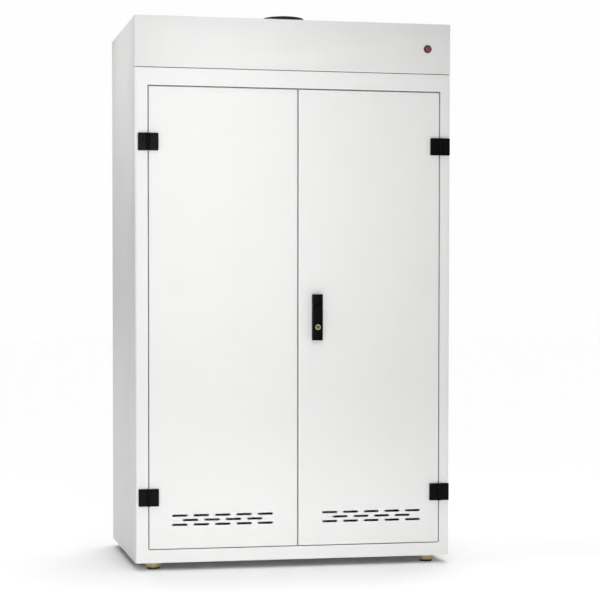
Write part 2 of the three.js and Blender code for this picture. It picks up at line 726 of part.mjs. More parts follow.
function lever() {
  const shoulder = leverAxisZ - earRadius - LEVER_JOINT_CLEARANCE;
  const tongueX = grown(handleSpanX, -EAR_WIDTH - RUNNING_CLEARANCE);
  const grip = block(handleSpanX, leverSpanY, [handleTop - HANDLE_HEIGHT, shoulder]);
  const neck = block(tongueX, leverSpanY, [shoulder - OVERRUN, leverAxisZ]);
  const tongue = barX(earRadius, tongueX, leverMiddleY, leverAxisZ, ROUND_SIDES);
  const bore = leverPinBar(LEVER_PIN_RADIUS + RUNNING_CLEARANCE, grown(handleSpanX, OVERRUN));
  const seatRadius = CYLINDER_RADIUS + RUNNING_CLEARANCE;
  const seat = barY(seatRadius, handleX, grown(leverSpanY, OVERRUN), cylinderZ, ROUND_SIDES);
  return cut(join([grip, neck, tongue]), [bore, seat]);
}

function leverPin() {
  return leverPinBar(LEVER_PIN_RADIUS, grown(handleSpanX, -SEAT));
}

// Key cylinder with its keyway, as deep as the lever
function lockCylinder() {
  const front = leverSpanY[0] - CYLINDER_PROUD;
  const body = barY(CYLINDER_RADIUS, handleX, [front, leverSpanY[1]], cylinderZ, ROUND_SIDES);
  const keyway = block(
    about(handleX, KEYWAY_WIDTH),
    [front - OVERRUN, front + KEYWAY_DEPTH],
    about(cylinderZ, KEYWAY_HEIGHT),
  );
  return body.subtract(keyway);
}

// Pinion on the spindle, with a tooth on each side of its axis
function drivePinion() {
  const shape = new THREE.Shape();
  const pitch = Math.PI * GEAR_MODULE;
  const tipRadius = pitchRadius + toothHeight;
  const rootRadius = pitchRadius - rootDepth;
  const rootHalf = (pitch * TOOTH_ROOT_SHARE) / 2 / rootRadius;
  const tipHalf = (pitch * TOOTH_TIP_SHARE) / 2 / tipRadius;
  const corners = [
    [rootRadius, -rootHalf],
    [tipRadius, -tipHalf],
    [tipRadius, tipHalf],
    [rootRadius, rootHalf],
  ];
  for (let tooth = 0; tooth < PINION_TEETH; tooth += 1) {
    const middle = (2 * Math.PI * tooth) / PINION_TEETH;
    corners.forEach(([radius, angle], index) => {
      const x = radius * Math.cos(middle + angle);
      const z = radius * Math.sin(middle + angle);
      if (tooth === 0 && index === 0) {
        shape.moveTo(x, z);
      } else {
        shape.lineTo(x, z);
      }
    });
  }
  const gear = plateY(shape, rodSpanY).translate([handleX, 0, spindleZ]);
  const bore = barY(SPINDLE_RADIUS + SEAT, handleX, grown(rodSpanY, OVERRUN), spindleZ, ROUND_SIDES);
  return gear.subtract(bore);
}

// Lock rod with its rack; the lower rod is the upper one's outline turned half round the spindle
function lockRod(end) {
  const side = end === 'upper' ? 1 : -1;
  const reach = end === 'upper' ? doorTop - spindleZ : spindleZ - doorBottom;
  const pitch = Math.PI * GEAR_MODULE;
  const tipX = pitchRadius - toothHeight;
  const points = [[rodInner + ROD_WIDTH, reach], [rodInner + ROD_WIDTH, -ROD_TAIL], [rodInner, -ROD_TAIL]];
  const first = Math.ceil(-(rodTravel + RACK_LEAD) / pitch - 1 / 2);
  const last = Math.floor(RACK_LEAD / pitch - 1 / 2);
  for (let tooth = first; tooth <= last; tooth += 1) {
    const middle = (tooth + 1 / 2) * pitch;
    points.push([rodInner, middle - (pitch * TOOTH_ROOT_SHARE) / 2]);
    points.push([tipX, middle - (pitch * TOOTH_TIP_SHARE) / 2]);
    points.push([tipX, middle + (pitch * TOOTH_TIP_SHARE) / 2]);
    points.push([rodInner, middle + (pitch * TOOTH_ROOT_SHARE) / 2]);
  }
  points.push([rodInner, reach]);
  const shape = new THREE.Shape(points.map(([x, z]) => new THREE.Vector2(side * x, side * z)));
  return plateY(shape, rodSpanY).translate([handleX, 0, spindleZ]);
}

// Cover over the pinion, open towards the skin, with a bearing for the spindle's end
function gearboxCover() {
  const spanX = about(handleX, 2 * GEARBOX_HALF_WIDTH);
  const spanZ = about(spindleZ, 2 * GEARBOX_HALF_HEIGHT);
  const body = pan(spanX, [SHEET + SEAT, gearboxInner + SHEET], spanZ, 'y', 'low');
  const upper = rodHoles('upper', [spanZ[1] - SHEET, spanZ[1]]);
  const lower = rodHoles('lower', [spanZ[0], spanZ[0] + SHEET]);
  return cut(body, [spindleHole([gearboxInner - OVERRUN, spindleEnd + OVERRUN]), upper.rod, lower.rod]);
}

function doorGasket() {
  const outerX = grown([openLeft, openRight], -GASKET_INSET);
  const outerZ = grown([openBottom, openTop], -GASKET_INSET);
  const spanY = [DOOR_THICKNESS + SEAT, DOOR_THICKNESS + SEAT + GASKET_THICKNESS];
  return ring(outerX, outerZ, grown(outerX, -GASKET_WIDTH), grown(outerZ, -GASKET_WIDTH), spanY);
}

// Foot, built about its own axis on the floor
function footPad() {
  return turnedZ([
    [0, 0],
    [PAD_RADIUS, 0],
    [PAD_RADIUS, PAD_HEIGHT],
    [PAD_RECESS_RADIUS, PAD_HEIGHT],
    [PAD_RECESS_RADIUS, PAD_HEIGHT + PAD_SPIGOT_HEIGHT],
    [0, PAD_HEIGHT + PAD_SPIGOT_HEIGHT],
  ], SMALL_SIDES * 2);
}

function footCup() {
  const recessTop = PAD_HEIGHT + PAD_SPIGOT_HEIGHT + SEAT;
  const cupBottom = PAD_HEIGHT + SEAT;
  const cupTop = base - SEAT;
  const nutBottom = base + SHEET + SEAT;
  return turnedZ([
    [0, recessTop],
    [PAD_RECESS_RADIUS + RUNNING_CLEARANCE, recessTop],
    [PAD_RECESS_RADIUS + RUNNING_CLEARANCE, cupBottom],
    [CUP_BOTTOM_RADIUS, cupBottom],
    [CUP_WAIST_RADIUS, (cupBottom + cupTop) / 2],
    [CUP_TOP_RADIUS, cupTop - CUP_RIM_DROP],
    [CUP_TOP_RADIUS, cupTop],
    [STEM_RADIUS, cupTop],
    [STEM_RADIUS, nutBottom],
    [NUT_RADIUS, nutBottom],
    [NUT_RADIUS, nutBottom + NUT_HEIGHT],
    [STEM_RADIUS, nutBottom + NUT_HEIGHT],
    [STEM_RADIUS, base + STEM_RISE],
    [0, base + STEM_RISE],
  ], SMALL_SIDES * 2);
}

// Fan, built about the vertical axis through the roof outlet
function fanHousing() {
  const span = [ceilingBottom + SHEET + SEAT, top - SHEET - SEAT];
  const ledgeBottom = motorBottom - SEAT - HOUSING_WALL;
  const ringTop = ledgeBottom + MOTOR_RING_HEIGHT;
  const ringRadius = MOTOR_RADIUS + SEAT + MOTOR_RING_WALL;
  const flangeSpan = about(0, HOUSING_FLANGE_SIZE);
  const flange = block(flangeSpan, flangeSpan, [span[0], span[0] + HOUSING_WALL]);
  const tube = barZ(HOUSING_RADIUS, span, 0, 0, ROUND_SIDES);
  const inside = barZ(HOUSING_RADIUS - HOUSING_WALL, grown(span, OVERRUN), 0, 0, ROUND_SIDES);
  const spokeSpan = [ledgeBottom, ledgeBottom + SPOKE_HEIGHT];
  const reach = about(0, 2 * HOUSING_RADIUS - HOUSING_WALL);
  const spokes = [
    block(reach, about(0, SPOKE_WIDTH), spokeSpan),
    block(about(0, SPOKE_WIDTH), reach, spokeSpan),
  ];
  const motorRing = barZ(ringRadius, [ledgeBottom, ringTop], 0, 0, ROUND_SIDES);
  const pocket = barZ(MOTOR_RADIUS + SEAT, [motorBottom - SEAT, ringTop + OVERRUN], 0, 0, ROUND_SIDES);
  const ledgeSpan = grown([ledgeBottom, ringTop], OVERRUN);
  const ledgeHole = barZ(MOTOR_RADIUS - MOTOR_LEDGE, ledgeSpan, 0, 0, ROUND_SIDES);
  const shell = flange.add(tube).subtract(inside);
  return shell.add(cut(join([...spokes, motorRing]), [pocket, ledgeHole]));
}

function fanMotor() {
  const body = barZ(MOTOR_RADIUS, [motorBottom, motorBottom + MOTOR_HEIGHT], 0, 0, ROUND_SIDES);
  const shaft = barZ(
    MOTOR_SHAFT_RADIUS,
    [hubTop - MOTOR_SHAFT_LENGTH, motorBottom + OVERRUN],
    0,
    0,
    SMALL_SIDES,
  );
  return body.add(shaft);
}

function fanImpeller() {
  const hubSpan = [hubTop - HUB_HEIGHT, hubTop];
  const pitch = THREE.MathUtils.degToRad(BLADE_PITCH_DEGREES);
  const halfChord = (BLADE_CHORD / 2) * Math.cos(pitch);
  const tip = Math.sqrt((HOUSING_RADIUS - HOUSING_WALL - BLADE_TIP_GAP) ** 2 - halfChord ** 2);
  const hub = barZ(HUB_RADIUS, hubSpan, 0, 0, ROUND_SIDES);
  const root = HUB_RADIUS * BLADE_ROOT_SHARE;
  const blades = Array.from({ length: BLADE_COUNT }, (_, index) => {
    const geometry = new THREE.BoxGeometry(tip - root, BLADE_CHORD, BLADE_THICKNESS);
    geometry.translate((tip + root) / 2, 0, 0);
    geometry.rotateX(pitch);
    geometry.rotateZ((2 * Math.PI * index) / BLADE_COUNT);
    geometry.translate(0, 0, (hubSpan[0] + hubSpan[1]) / 2);
    return solidOf(geometry);
  });
  const bore = barZ(MOTOR_SHAFT_RADIUS + RUNNING_CLEARANCE, grown(hubSpan, OVERRUN), 0, 0, SMALL_SIDES);
  return join([hub, ...blades]).subtract(bore);
}

// Outlet collar: spigot through the roof, wide base ring and a narrower open neck
function outletCollar() {
  const foot = top + SEAT;
  return turnedZ([
    [COLLAR_SPIGOT_RADIUS - COLLAR_WALL, top - COLLAR_SPIGOT_DEPTH],
    [COLLAR_SPIGOT_RADIUS, top - COLLAR_SPIGOT_DEPTH],
    [COLLAR_SPIGOT_RADIUS, foot],
    [COLLAR_RADIUS, foot],
    [COLLAR_RADIUS, top + COLLAR_SHOULDER_HEIGHT],
    [COLLAR_NECK_RADIUS, top + COLLAR_NECK_HEIGHT],
    [COLLAR_NECK_RADIUS, top + COLLAR_HEIGHT],
    [COLLAR_NECK_RADIUS - COLLAR_WALL, top + COLLAR_HEIGHT],
    [COLLAR_NECK_RADIUS - COLLAR_WALL, top + COLLAR_NECK_HEIGHT - COLLAR_WALL],
    [COLLAR_RADIUS - COLLAR_WALL, top + COLLAR_SHOULDER_HEIGHT - COLLAR_WALL],
    [COLLAR_RADIUS - COLLAR_WALL, foot + COLLAR_WALL],
    [COLLAR_SPIGOT_RADIUS - COLLAR_WALL, foot + COLLAR_WALL],
    [COLLAR_SPIGOT_RADIUS - COLLAR_WALL, top - COLLAR_SPIGOT_DEPTH],
  ], ROUND_SIDES);
}

// Push button switch, built about its own axis from front to back
const buttonFront = -BEZEL_THICKNESS - BUTTON_PROUD;
const buttonBack = buttonFront + BUTTON_LENGTH;

function switchHousing() {
  const bezel = barY(BEZEL_RADIUS, 0, [-BEZEL_THICKNESS, -SEAT], 0, ROUND_SIDES);
  const body = barY(SWITCH_BODY_RADIUS, 0, [-BEZEL_THICKNESS, SWITCH_BODY_LENGTH], 0, ROUND_SIDES);
  const bore = barY(
    BUTTON_RADIUS + BUTTON_CLEARANCE,
    0,
    [-BEZEL_THICKNESS - OVERRUN, buttonBack + BUTTON_TRAVEL + BUTTON_CLEARANCE],
    0,
    ROUND_SIDES,
  );
  return bezel.add(body).subtract(bore);
}

function switchButton() {
  const stem = barY(BUTTON_RADIUS, 0, [buttonFront + BUTTON_DOME, buttonBack], 0, ROUND_SIDES);
  const face = barY(BUTTON_RADIUS - BUTTON_DOME, 0, [buttonFront, buttonBack], 0, ROUND_SIDES);
  return stem.add(face);
}

// Power inlet, flush in the back panel's opening, with its flange and pins inside
function powerInlet() {
  const seatY = BODY_DEPTH - SHEET - SEAT;
  const opening = [about(inletX, INLET_OPENING_WIDTH), about(inletZ, INLET_OPENING_HEIGHT)];
  const [snoutX, snoutZ] = opening.map((span) => grown(span, -SEAT));
  const snout = block(snoutX, [seatY - INLET_BODY_LENGTH, BODY_DEPTH - SEAT], snoutZ);
  const flange = block(
    about(inletX, INLET_FLANGE_WIDTH),
    [seatY - INLET_FLANGE_THICKNESS, seatY],
    grown(snoutZ, INLET_WALL),
  );
  const floor = seatY - INLET_BODY_LENGTH + INLET_WALL;
  const socket = block(
    grown(snoutX, -INLET_WALL),
    [floor, BODY_DEPTH + OVERRUN],
    grown(snoutZ, -INLET_WALL),
  );
  const pins = [-1, 0, 1].map((place) => block(
    about(inletX + place * INLET_PIN_SPACING, INLET_PIN_THICKNESS),
    [floor - INLET_WALL / 2, floor + INLET_PIN_LENGTH],
    about(inletZ, INLET_PIN_HEIGHT),
  ));
  return join([snout.add(flange).subtract(socket), ...pins]);
}

// Assembly: every piece in its group, doors with what they carry
const cabinet = new THREE.Group();
cabinet.position.y = -(BODY_DEPTH - handleProud - CYLINDER_PROUD) / 2;

const leftDoorX = [openLeft + DOOR_GAP, MEETING_SEAM_OFFSET - DOOR_GAP / 2];
const rightDoorX = [MEETING_SEAM_OFFSET + DOOR_GAP / 2, openRight - DOOR_GAP];
const tops = rodHoles('upper', [doorTop - SHEET, doorTop]);
const bottoms = rodHoles('lower', [doorBottom, doorBottom + SHEET]);

function place(mesh, x, y, z) {
  mesh.position.set(x, y, z);
  return mesh;
}

function carcass() {
  const group = new THREE.Group();
  group.add(
    meshOf('front_frame', frontFrame(), white),
    meshOf('header_panel', headerPanel(), white),
    meshOf('left_side_panel', sidePanel(-1), white),
    meshOf('right_side_panel', sidePanel(1), white),
    meshOf('back_panel', backPanel(), white),
    meshOf('roof_panel', roofPanel(), white),
    meshOf('ceiling_panel', ceilingPanel(), white),
    meshOf('floor_pan', floorPan(), white),
    meshOf('door_gasket', doorGasket(), rubber),
    meshOf('power_inlet', powerInlet(), black),
  );
  return group;
}

function feet() {
  const group = new THREE.Group();
  const names = ['front_left', 'back_left', 'front_right', 'back_right'];
  footPlaces.forEach(([x, y], index) => {
    group.add(
      place(meshOf(`foot_cup_${names[index]}`, footCup(), gold), x, y, 0),
      place(meshOf(`foot_pad_${names[index]}`, footPad(), rubber), x, y, 0),
    );
  });
  return group;
}

function storage() {
  const group = new THREE.Group();
  for (const [sideName, side] of [['left', -1], ['right', 1]]) {
    group.add(
      meshOf(`upright_front_${sideName}`, upright(side, UPRIGHT_FRONT), white),
      meshOf(`upright_rear_${sideName}`, upright(side, uprightRear), white),
    );
  }
  SHELF_NAMES.forEach((name, index) => {
    group.add(meshOf(`shelf_${name}`, shelf((index + 1) * SLOT_COUNT_PER_SHELF - 1), white));
  });
  group.add(meshOf('spill_tray', spillTray(), white));
  return group;
}

function fan() {
  const group = new THREE.Group();
  group.position.y = FAN_FROM_FRONT;
  group.add(
    meshOf('fan_housing', fanHousing(), steel),
    meshOf('fan_motor', fanMotor(), black),
    meshOf('fan_impeller', fanImpeller(), black),
    meshOf('outlet_collar', outletCollar(), black),
  );
  return group;
}

function pushButton() {
  const group = new THREE.Group();
  group.position.set(right - SWITCH_FROM_RIGHT, 0, top - SWITCH_BELOW_TOP);
  group.add(
    meshOf('switch_housing', switchHousing(), maroon),
    meshOf('switch_button', switchButton(), red),
  );
  return group;
}

// Three pieces of every hinge: one leaf on the frame, one on the door, and the pin between them
function hinges() {
  const group = new THREE.Group();
  for (const [sideName, doorSide, axisX] of [
    ['left', 1, left + LEFT_SEAM_INSET],
    ['right', -1, right - RIGHT_SEAM_INSET],
  ]) {
    for (const [levelName, height] of [
      ['upper', top - HINGE_UPPER_BELOW_TOP],
      ['lower', base + HINGE_LOWER_HEIGHT],
    ]) {
      const name = `hinge_${levelName}_${sideName}`;
      const at = [axisX, -HINGE_AXIS_PROUD, height];
      const frameLeaf = hingeLeaf(-doorSide, endKnuckles, middleKnuckles);
      const doorLeaf = hingeLeaf(doorSide, middleKnuckles, endKnuckles);
      group.add(
        place(meshOf(`${name}_frame_leaf`, frameLeaf, black), ...at),
        place(meshOf(`${name}_door_leaf`, doorLeaf, black), ...at),
        place(meshOf(`${name}_pin`, hingePin(), steel), ...at),
      );
    }
  }
  return group;
}

function leftDoor() {
  const group = new THREE.Group();
  group.add(
    meshOf('left_door_skin', doorSkin(leftDoorX, [tops.bolt, bottoms.bolt]), white),
    meshOf('left_door_liner', leftLiner(leftDoorX), white),
    meshOf('slide_bolt_upper', slideBolt('upper'), steel),
    meshOf('slide_bolt_lower', slideBolt('lower'), steel),
  );
  return group;
}

function rightDoor() {
  const group = new THREE.Group();
  const spindle = spindleHole([-OVERRUN, SHEET + OVERRUN]);
  group.add(
    meshOf('right_door_skin', doorSkin(rightDoorX, [tops.rod, bottoms.rod, spindle]), white),
    meshOf('right_door_liner', doorLiner(rightDoorX), white),
    meshOf('handle_plate', handlePlate(), black),
    meshOf('spindle_head', spindleHead(), black),
    meshOf('lever', lever(), black),
    meshOf('lever_pin', leverPin(), steel),
    meshOf('lock_cylinder', lockCylinder(), brass),
    meshOf('drive_pinion', drivePinion(), steel),
    meshOf('gearbox_cover', gearboxCover(), steel),
    meshOf('lock_rod_upper', lockRod('upper'), steel),
    meshOf('lock_rod_lower', lockRod('lower'), steel),
  );
  return group;
}

cabinet.add(carcass(), feet(), storage(), fan(), pushButton(), hinges(), leftDoor(), rightDoor());

export default cabinet;
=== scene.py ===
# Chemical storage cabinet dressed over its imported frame.
# Everything is in metres, in the frame of the CAD: X right, Y back, Z up, floor at Z = 0.
import json
import math
import bmesh
import bpy
from mathutils import Matrix, Vector


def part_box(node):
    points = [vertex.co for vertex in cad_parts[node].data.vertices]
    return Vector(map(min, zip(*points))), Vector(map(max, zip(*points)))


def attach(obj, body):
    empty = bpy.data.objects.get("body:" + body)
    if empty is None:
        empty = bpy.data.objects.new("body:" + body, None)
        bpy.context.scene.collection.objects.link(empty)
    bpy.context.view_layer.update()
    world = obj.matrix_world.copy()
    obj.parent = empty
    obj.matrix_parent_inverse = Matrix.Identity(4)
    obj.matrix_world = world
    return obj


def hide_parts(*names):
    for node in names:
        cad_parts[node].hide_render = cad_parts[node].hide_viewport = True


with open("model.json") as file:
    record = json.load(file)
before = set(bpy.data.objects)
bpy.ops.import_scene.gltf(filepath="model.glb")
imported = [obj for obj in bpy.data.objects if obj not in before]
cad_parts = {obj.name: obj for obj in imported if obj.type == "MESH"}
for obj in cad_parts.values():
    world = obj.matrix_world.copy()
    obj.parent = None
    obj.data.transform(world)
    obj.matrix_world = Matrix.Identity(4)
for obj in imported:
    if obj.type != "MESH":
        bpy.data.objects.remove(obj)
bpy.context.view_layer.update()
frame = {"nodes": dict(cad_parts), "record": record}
mm = 0.001
nearby = 0.1 * mm  # a corner this near a line or a side counts as on it
weldReach = 0.01 * mm  # rims that meet are joined within this
doubleReach = 0.002 * mm  # and doubled corners of a finished mesh within this
print("frame loaded:", len(frame["nodes"]), "nodes")

# Camera
camera = {
    "place": (-1.3334, -6.678, 0.9335),  # metres, fitted to the edges of the body in the photograph
    "yaw": 12.03,  # degrees to the right of straight ahead
    "pitch": -1.865,
    "roll": -0.044,
    "focalPixels": 1863.4,
    "imageWidth": 600,
    "horizonShift": 0.1,  # share of the image width
    "sensor": 36,
    "clip": (0.1, 200),
}


def makeCamera(values):
    data = bpy.data.cameras.new("photoCamera")
    data.sensor_width = values["sensor"]
    data.lens = values["focalPixels"] * values["sensor"] / values["imageWidth"]
    data.shift_y = values["horizonShift"]
    data.clip_start, data.clip_end = values["clip"]
    obj = bpy.data.objects.new("photoCamera", data)
    bpy.context.scene.collection.objects.link(obj)
    turn = Matrix.Rotation(math.radians(-values["yaw"]), 4, "Z")
    tilt = Matrix.Rotation(math.radians(90 + values["pitch"]), 4, "X")
    roll = Matrix.Rotation(math.radians(-values["roll"]), 4, "Z")
    obj.matrix_world = Matrix.Translation(values["place"]) @ turn @ tilt @ roll
    bpy.context.scene.camera = obj


makeCamera(camera)
print("camera made")


# Materials
def linearColour(hexText):
    channels = [int(hexText[i:i + 2], 16) / 255 for i in (1, 3, 5)]
    linear = [c / 12.92 if c <= 0.04045 else ((c + 0.055) / 1.055) ** 2.4 for c in channels]
    return (*linear, 1.0)


def addNode(tree, kind, settings=None, links=None):
    # a node with its settings and its links; inputs go by name, or by number where names repeat
    node = tree.nodes.new(kind)
    for key, value in (settings or {}).items():
        if isinstance(key, str) and hasattr(node, key):
            setattr(node, key, value)
        else:
            node.inputs[key].default_value = value
    for key, source in (links or {}).items():
        tree.links.new(source, node.inputs[key])
    return node


def makeMaterial(name, finish):
    # patches of colour and roughness, and a fine grain; sizes and depths are in millimetres
    material = bpy.data.materials.new(name)
    material.use_nodes = True
    tree = material.node_tree
    shader = tree.nodes["Principled BSDF"]
    for key, value in finish["shader"].items():
        shader.inputs[key].default_value = value
    where = addNode(tree, "ShaderNodeTexCoord").outputs["Object"]
    patches = addNode(
        tree, "ShaderNodeTexNoise",
        {"Scale": 1 / (finish["patchSize"] * mm), "Detail": 3.0, "Roughness": 0.55}, {"Vector": where})
    colour = addNode(tree, "ShaderNodeValToRGB", {}, {"Fac": patches.outputs["Fac"]})
    stops = finish["colours"]
    start, end = 0.3, 0.7  # nearly all of the noise lies between these
    ramp = colour.color_ramp
    ramp.elements[0].position = start
    ramp.elements[1].position = end
    ramp.elements[0].color = linearColour(stops[0])
    ramp.elements[1].color = linearColour(stops[-1])
    for index, hexText in enumerate(stops[1:-1], 1):
        place = start + (end - start) * index / (len(stops) - 1)
        ramp.elements.new(place).color = linearColour(hexText)
    tree.links.new(colour.outputs["Color"], shader.inputs["Base Color"])
    low, high = finish["roughness"]
    rough = addNode(
        tree, "ShaderNodeMapRange",
        {"From Min": start, "From Max": end, "To Min": low, "To Max": high},
        {"Value": patches.outputs["Fac"]})
    tree.links.new(rough.outputs["Result"], shader.inputs["Roughness"])
    grain = addNode(
        tree, "ShaderNodeTexNoise",
        {"Scale": 1 / (finish["grainSize"] * mm), "Detail": 2.0}, {"Vector": where})
    bump = addNode(
        tree, "ShaderNodeBump",
        {"Strength": finish["grainStrength"], "Distance": finish["grainDepth"] * mm},
        {"Height": grain.outputs["Fac"]})
    tree.links.new(bump.outputs["Normal"], shader.inputs["Normal"])
    return material


# White polyester powder coat, baked on steel sheet: a satin skin with a shallow orange peel
whiteCoat = {
    "shader": {"IOR": 1.5, "Metallic": 0.0},
    "colours": ["#e5e5e4", "#e7e7e6", "#e6e6e5"],
    "patchSize": 260,  # slight drift of the film's thickness across a panel
    "roughness": (0.38, 0.44),
    "grainSize": 3.5,  # orange peel, drawn a little coarser than its real 2 mm
    "grainDepth": 0.03,
    "grainStrength": 0.35,
}
powderCoat = makeMaterial("satinPowderCoatedSteel", whiteCoat)
# The same coat, a shade greyer, on the header
headerCoat = makeMaterial("satinPowderCoatHeader", {
    **whiteCoat,
    "colours": ["#dededd", "#e1e1e0", "#dfdfde"],
})
# Black satin epoxy on die-cast zinc: fine hammered texture that dulls the shine
castCoat = makeMaterial("blackEpoxyCoatedDieCast", {
    "shader": {"IOR": 1.5, "Metallic": 0.0, "Specular IOR Level": 0.04},
    "colours": ["#050507", "#0a0a0c", "#070708"],
    "patchSize": 40,
    "roughness": (0.36, 0.5),
    "grainSize": 1.4,
    "grainDepth": 0.05,
    "grainStrength": 0.5,
})
# The same epoxy on the hinge castings, a little smoother and shinier
hingeCoat = makeMaterial("blackEpoxyCoatedHinge", {
    "shader": {"IOR": 1.5, "Metallic": 0.0, "Specular IOR Level": 0.06},
    "colours": ["#070709", "#0c0c0e", "#09090b"],
    "patchSize": 40,
    "roughness": (0.3, 0.42),
    "grainSize": 1.4,
    "grainDepth": 0.04,
    "grainStrength": 0.4,
})
# Black ABS, moulded against a spark-eroded tool: even matt grain
mouldedAbs = makeMaterial("mouldedBlackAbs", {
    "shader": {"IOR": 1.53, "Metallic": 0.0, "Specular IOR Level": 0.3},
    "colours": ["#161617", "#1e1e1f"],
    "patchSize": 60,
    "roughness": (0.48, 0.6),
    "grainSize": 0.9,
    "grainDepth": 0.04,
    "grainStrength": 0.5,
})
# Black nitrile rubber, pressed: dull, with a bloom that lifts the black in patches
pressedRubber = makeMaterial("pressedNitrileRubber", {
    "shader": {"IOR": 1.52, "Metallic": 0.0, "Specular IOR Level": 0.3},
    "colours": ["#2c2927", "#3d3936", "#322f2c"],
    "patchSize": 18,
    "roughness": (0.72, 0.88),
    "grainSize": 0.8,
    "grainDepth": 0.06,
    "grainStrength": 0.5,
})
# Yellow-passivated zinc plate: thin film whose colour runs from straw over gold to pink
goldPassivate = makeMaterial("yellowPassivatedZincPlate", {
    "shader": {"Metallic": 1.0},
    "colours": ["#dcc896", "#f4e4bb", "#e6d4a3", "#ecd8b9"],
    "patchSize": 22,
    "roughness": (0.38, 0.52),
    "grainSize": 1.2,
    "grainDepth": 0.02,
    "grainStrength": 0.4,
})
# Bright zinc plate on turned or pressed steel: pale blue-grey metal with a light bloom
brightZinc = makeMaterial("brightZincPlatedSteel", {
    "shader": {"Metallic": 1.0},
    "colours": ["#a9adb0", "#c3c6c8", "#b5b8ba"],
    "patchSize": 14,
    "roughness": (0.26, 0.42),
    "grainSize": 0.7,
    "grainDepth": 0.015,
    "grainStrength": 0.4,
})
# Hot-dip galvanised sheet: spangle as soft patches between two greys
galvanised = makeMaterial("galvanisedSheet", {
    "shader": {"Metallic": 1.0},
    "colours": ["#8f9498", "#b4b8bb", "#a0a5a8"],
    "patchSize": 9,
    "roughness": (0.34, 0.52),
    "grainSize": 2.0,
    "grainDepth": 0.02,
    "grainStrength": 0.4,
})
# Nickel plate on the turned ring round the lock: pale silver with a warm tinge
nickelPlate = makeMaterial("nickelPlatedRing", {
    "shader": {"Metallic": 1.0},
    "colours": ["#b0b098", "#c8c8b2", "#bcbca6"],
    "patchSize": 3,
    "roughness": (0.3, 0.44),
    "grainSize": 0.4,
    "grainDepth": 0.01,
    "grainStrength": 0.4,
})
# Bare turned brass of the lock's core: dull green-gold
turnedBrass = makeMaterial("turnedBrass", {
    "shader": {"Metallic": 1.0},
    "colours": ["#5c5c30", "#74723e", "#686636"],
    "patchSize": 3,
    "roughness": (0.22, 0.36),
    "grainSize": 0.4,
    "grainDepth": 0.01,
    "grainStrength": 0.4,
})
# Red polycarbonate cap over a lamp: glossy, and the light goes some way in
redPolycarbonate = makeMaterial("translucentRedPolycarbonate", {
    "shader": {
        "IOR": 1.58, "Metallic": 0.0, "Subsurface Weight": 0.35,
        "Subsurface Radius": (0.004, 0.0008, 0.0006), "Subsurface Scale": 1.0,
        "Coat Weight": 0.4, "Coat Roughness": 0.08,
    },
    "colours": ["#86424b", "#944e58"],
    "patchSize": 5,
    "roughness": (0.18, 0.26),
    "grainSize": 0.5,
    "grainDepth": 0.01,
    "grainStrength": 0.3,
})
# Dark polycarbonate ring round the lamp cap
bezelPlastic = makeMaterial("darkMouldedBezel", {
    "shader": {"IOR": 1.55, "Metallic": 0.0, "Coat Weight": 0.3, "Coat Roughness": 0.12},
    "colours": ["#431f22", "#4e262b"],
    "patchSize": 8,
    "roughness": (0.26, 0.36),
    "grainSize": 0.5,
    "grainDepth": 0.01,
    "grainStrength": 0.3,
})
finishOfSlot = {
    "white_powder_coat": powderCoat,
    "black_hardware": castCoat,
    "black_plastic": mouldedAbs,
    "black_rubber": pressedRubber,
    "gold_passivated_steel": goldPassivate,
    "plain_steel": brightZinc,
    "brass": turnedBrass,
    "red_button": redPolycarbonate,
    "dark_bezel": bezelPlastic,
}
print("materials made")


# Mesh helpers
def roundEdges(bm, edges, radius, segments):
    bmesh.ops.bevel(
        bm, geom=edges, offset=radius, offset_type="OFFSET", segments=segments, profile=0.5,
        affect="EDGES", material=-1, clamp_overlap=True)


def edgesOf(verts):
    return list({edge for vert in verts for edge in vert.link_edges})


def edgesWhere(bm, test):
    # edges whose two ends both pass the test
    return [edge for edge in bm.edges if all(test(vert.co) for vert in edge.verts)]


def runsInY(edge):
    return abs(edge.verts[0].co.y - edge.verts[1].co.y) > 1 * mm


def addBox(bm, low, high):
    low, high = Vector(low), Vector(high)
    verts = bmesh.ops.create_cube(bm, size=1.0)["verts"]
    bmesh.ops.scale(bm, vec=high - low, verts=verts)
    bmesh.ops.translate(bm, vec=(low + high) / 2, verts=verts)


def addSpun(bm, outline, centre, steps, axis="Z"):
    # outline of (radius, height) points turned about the axis through centre
    verts = [bm.verts.new((radius, 0, height)) for radius, height in outline]
    edges = [bm.edges.new(pair) for pair in zip(verts, verts[1:])]
    before = set(bm.verts) - set(verts)
    bmesh.ops.spin(
        bm, geom=verts + edges, cent=(0, 0, 0), axis=(0, 0, 1), dvec=(0, 0, 0), angle=2 * math.pi,
        steps=steps, use_merge=True)
    made = [vert for vert in bm.verts if vert not in before]
    turns = {"X": Matrix.Rotation(math.pi / 2, 3, "Y"), "Y": Matrix.Rotation(math.pi / 2, 3, "X")}
    if axis in turns:
        bmesh.ops.rotate(bm, cent=(0, 0, 0), matrix=turns[axis], verts=made)
    bmesh.ops.translate(bm, vec=centre, verts=made)
    return made


def inMetres(outline, start=0.0):
    # heights in millimetres are counted from start, which is in metres
    return [(radius * mm, start + height * mm) for radius, height in outline]


def turnedMesh(outline, centre, steps, axis="Z"):
    bm = bmesh.new()
    addSpun(bm, outline, centre, steps, axis)
    return bm


def rodMesh(radius, span, centre, steps, axis="Z"):
    return turnedMesh(
        [(0, span[0]), (radius, span[0]), (radius, span[1]), (0, span[1])], centre, steps, axis)


def addLoop(bm, corners):
    verts = [bm.verts.new(corner) for corner in corners]
    return [bm.edges.new((vert, verts[index - 1])) for index, vert in enumerate(verts)]


def rimXZ(bm, spanX, spanZ, y):
    (x0, x1), (z0, z1) = spanX, spanZ
    return addLoop(bm, [(x0, y, z0), (x1, y, z0), (x1, y, z1), (x0, y, z1)])


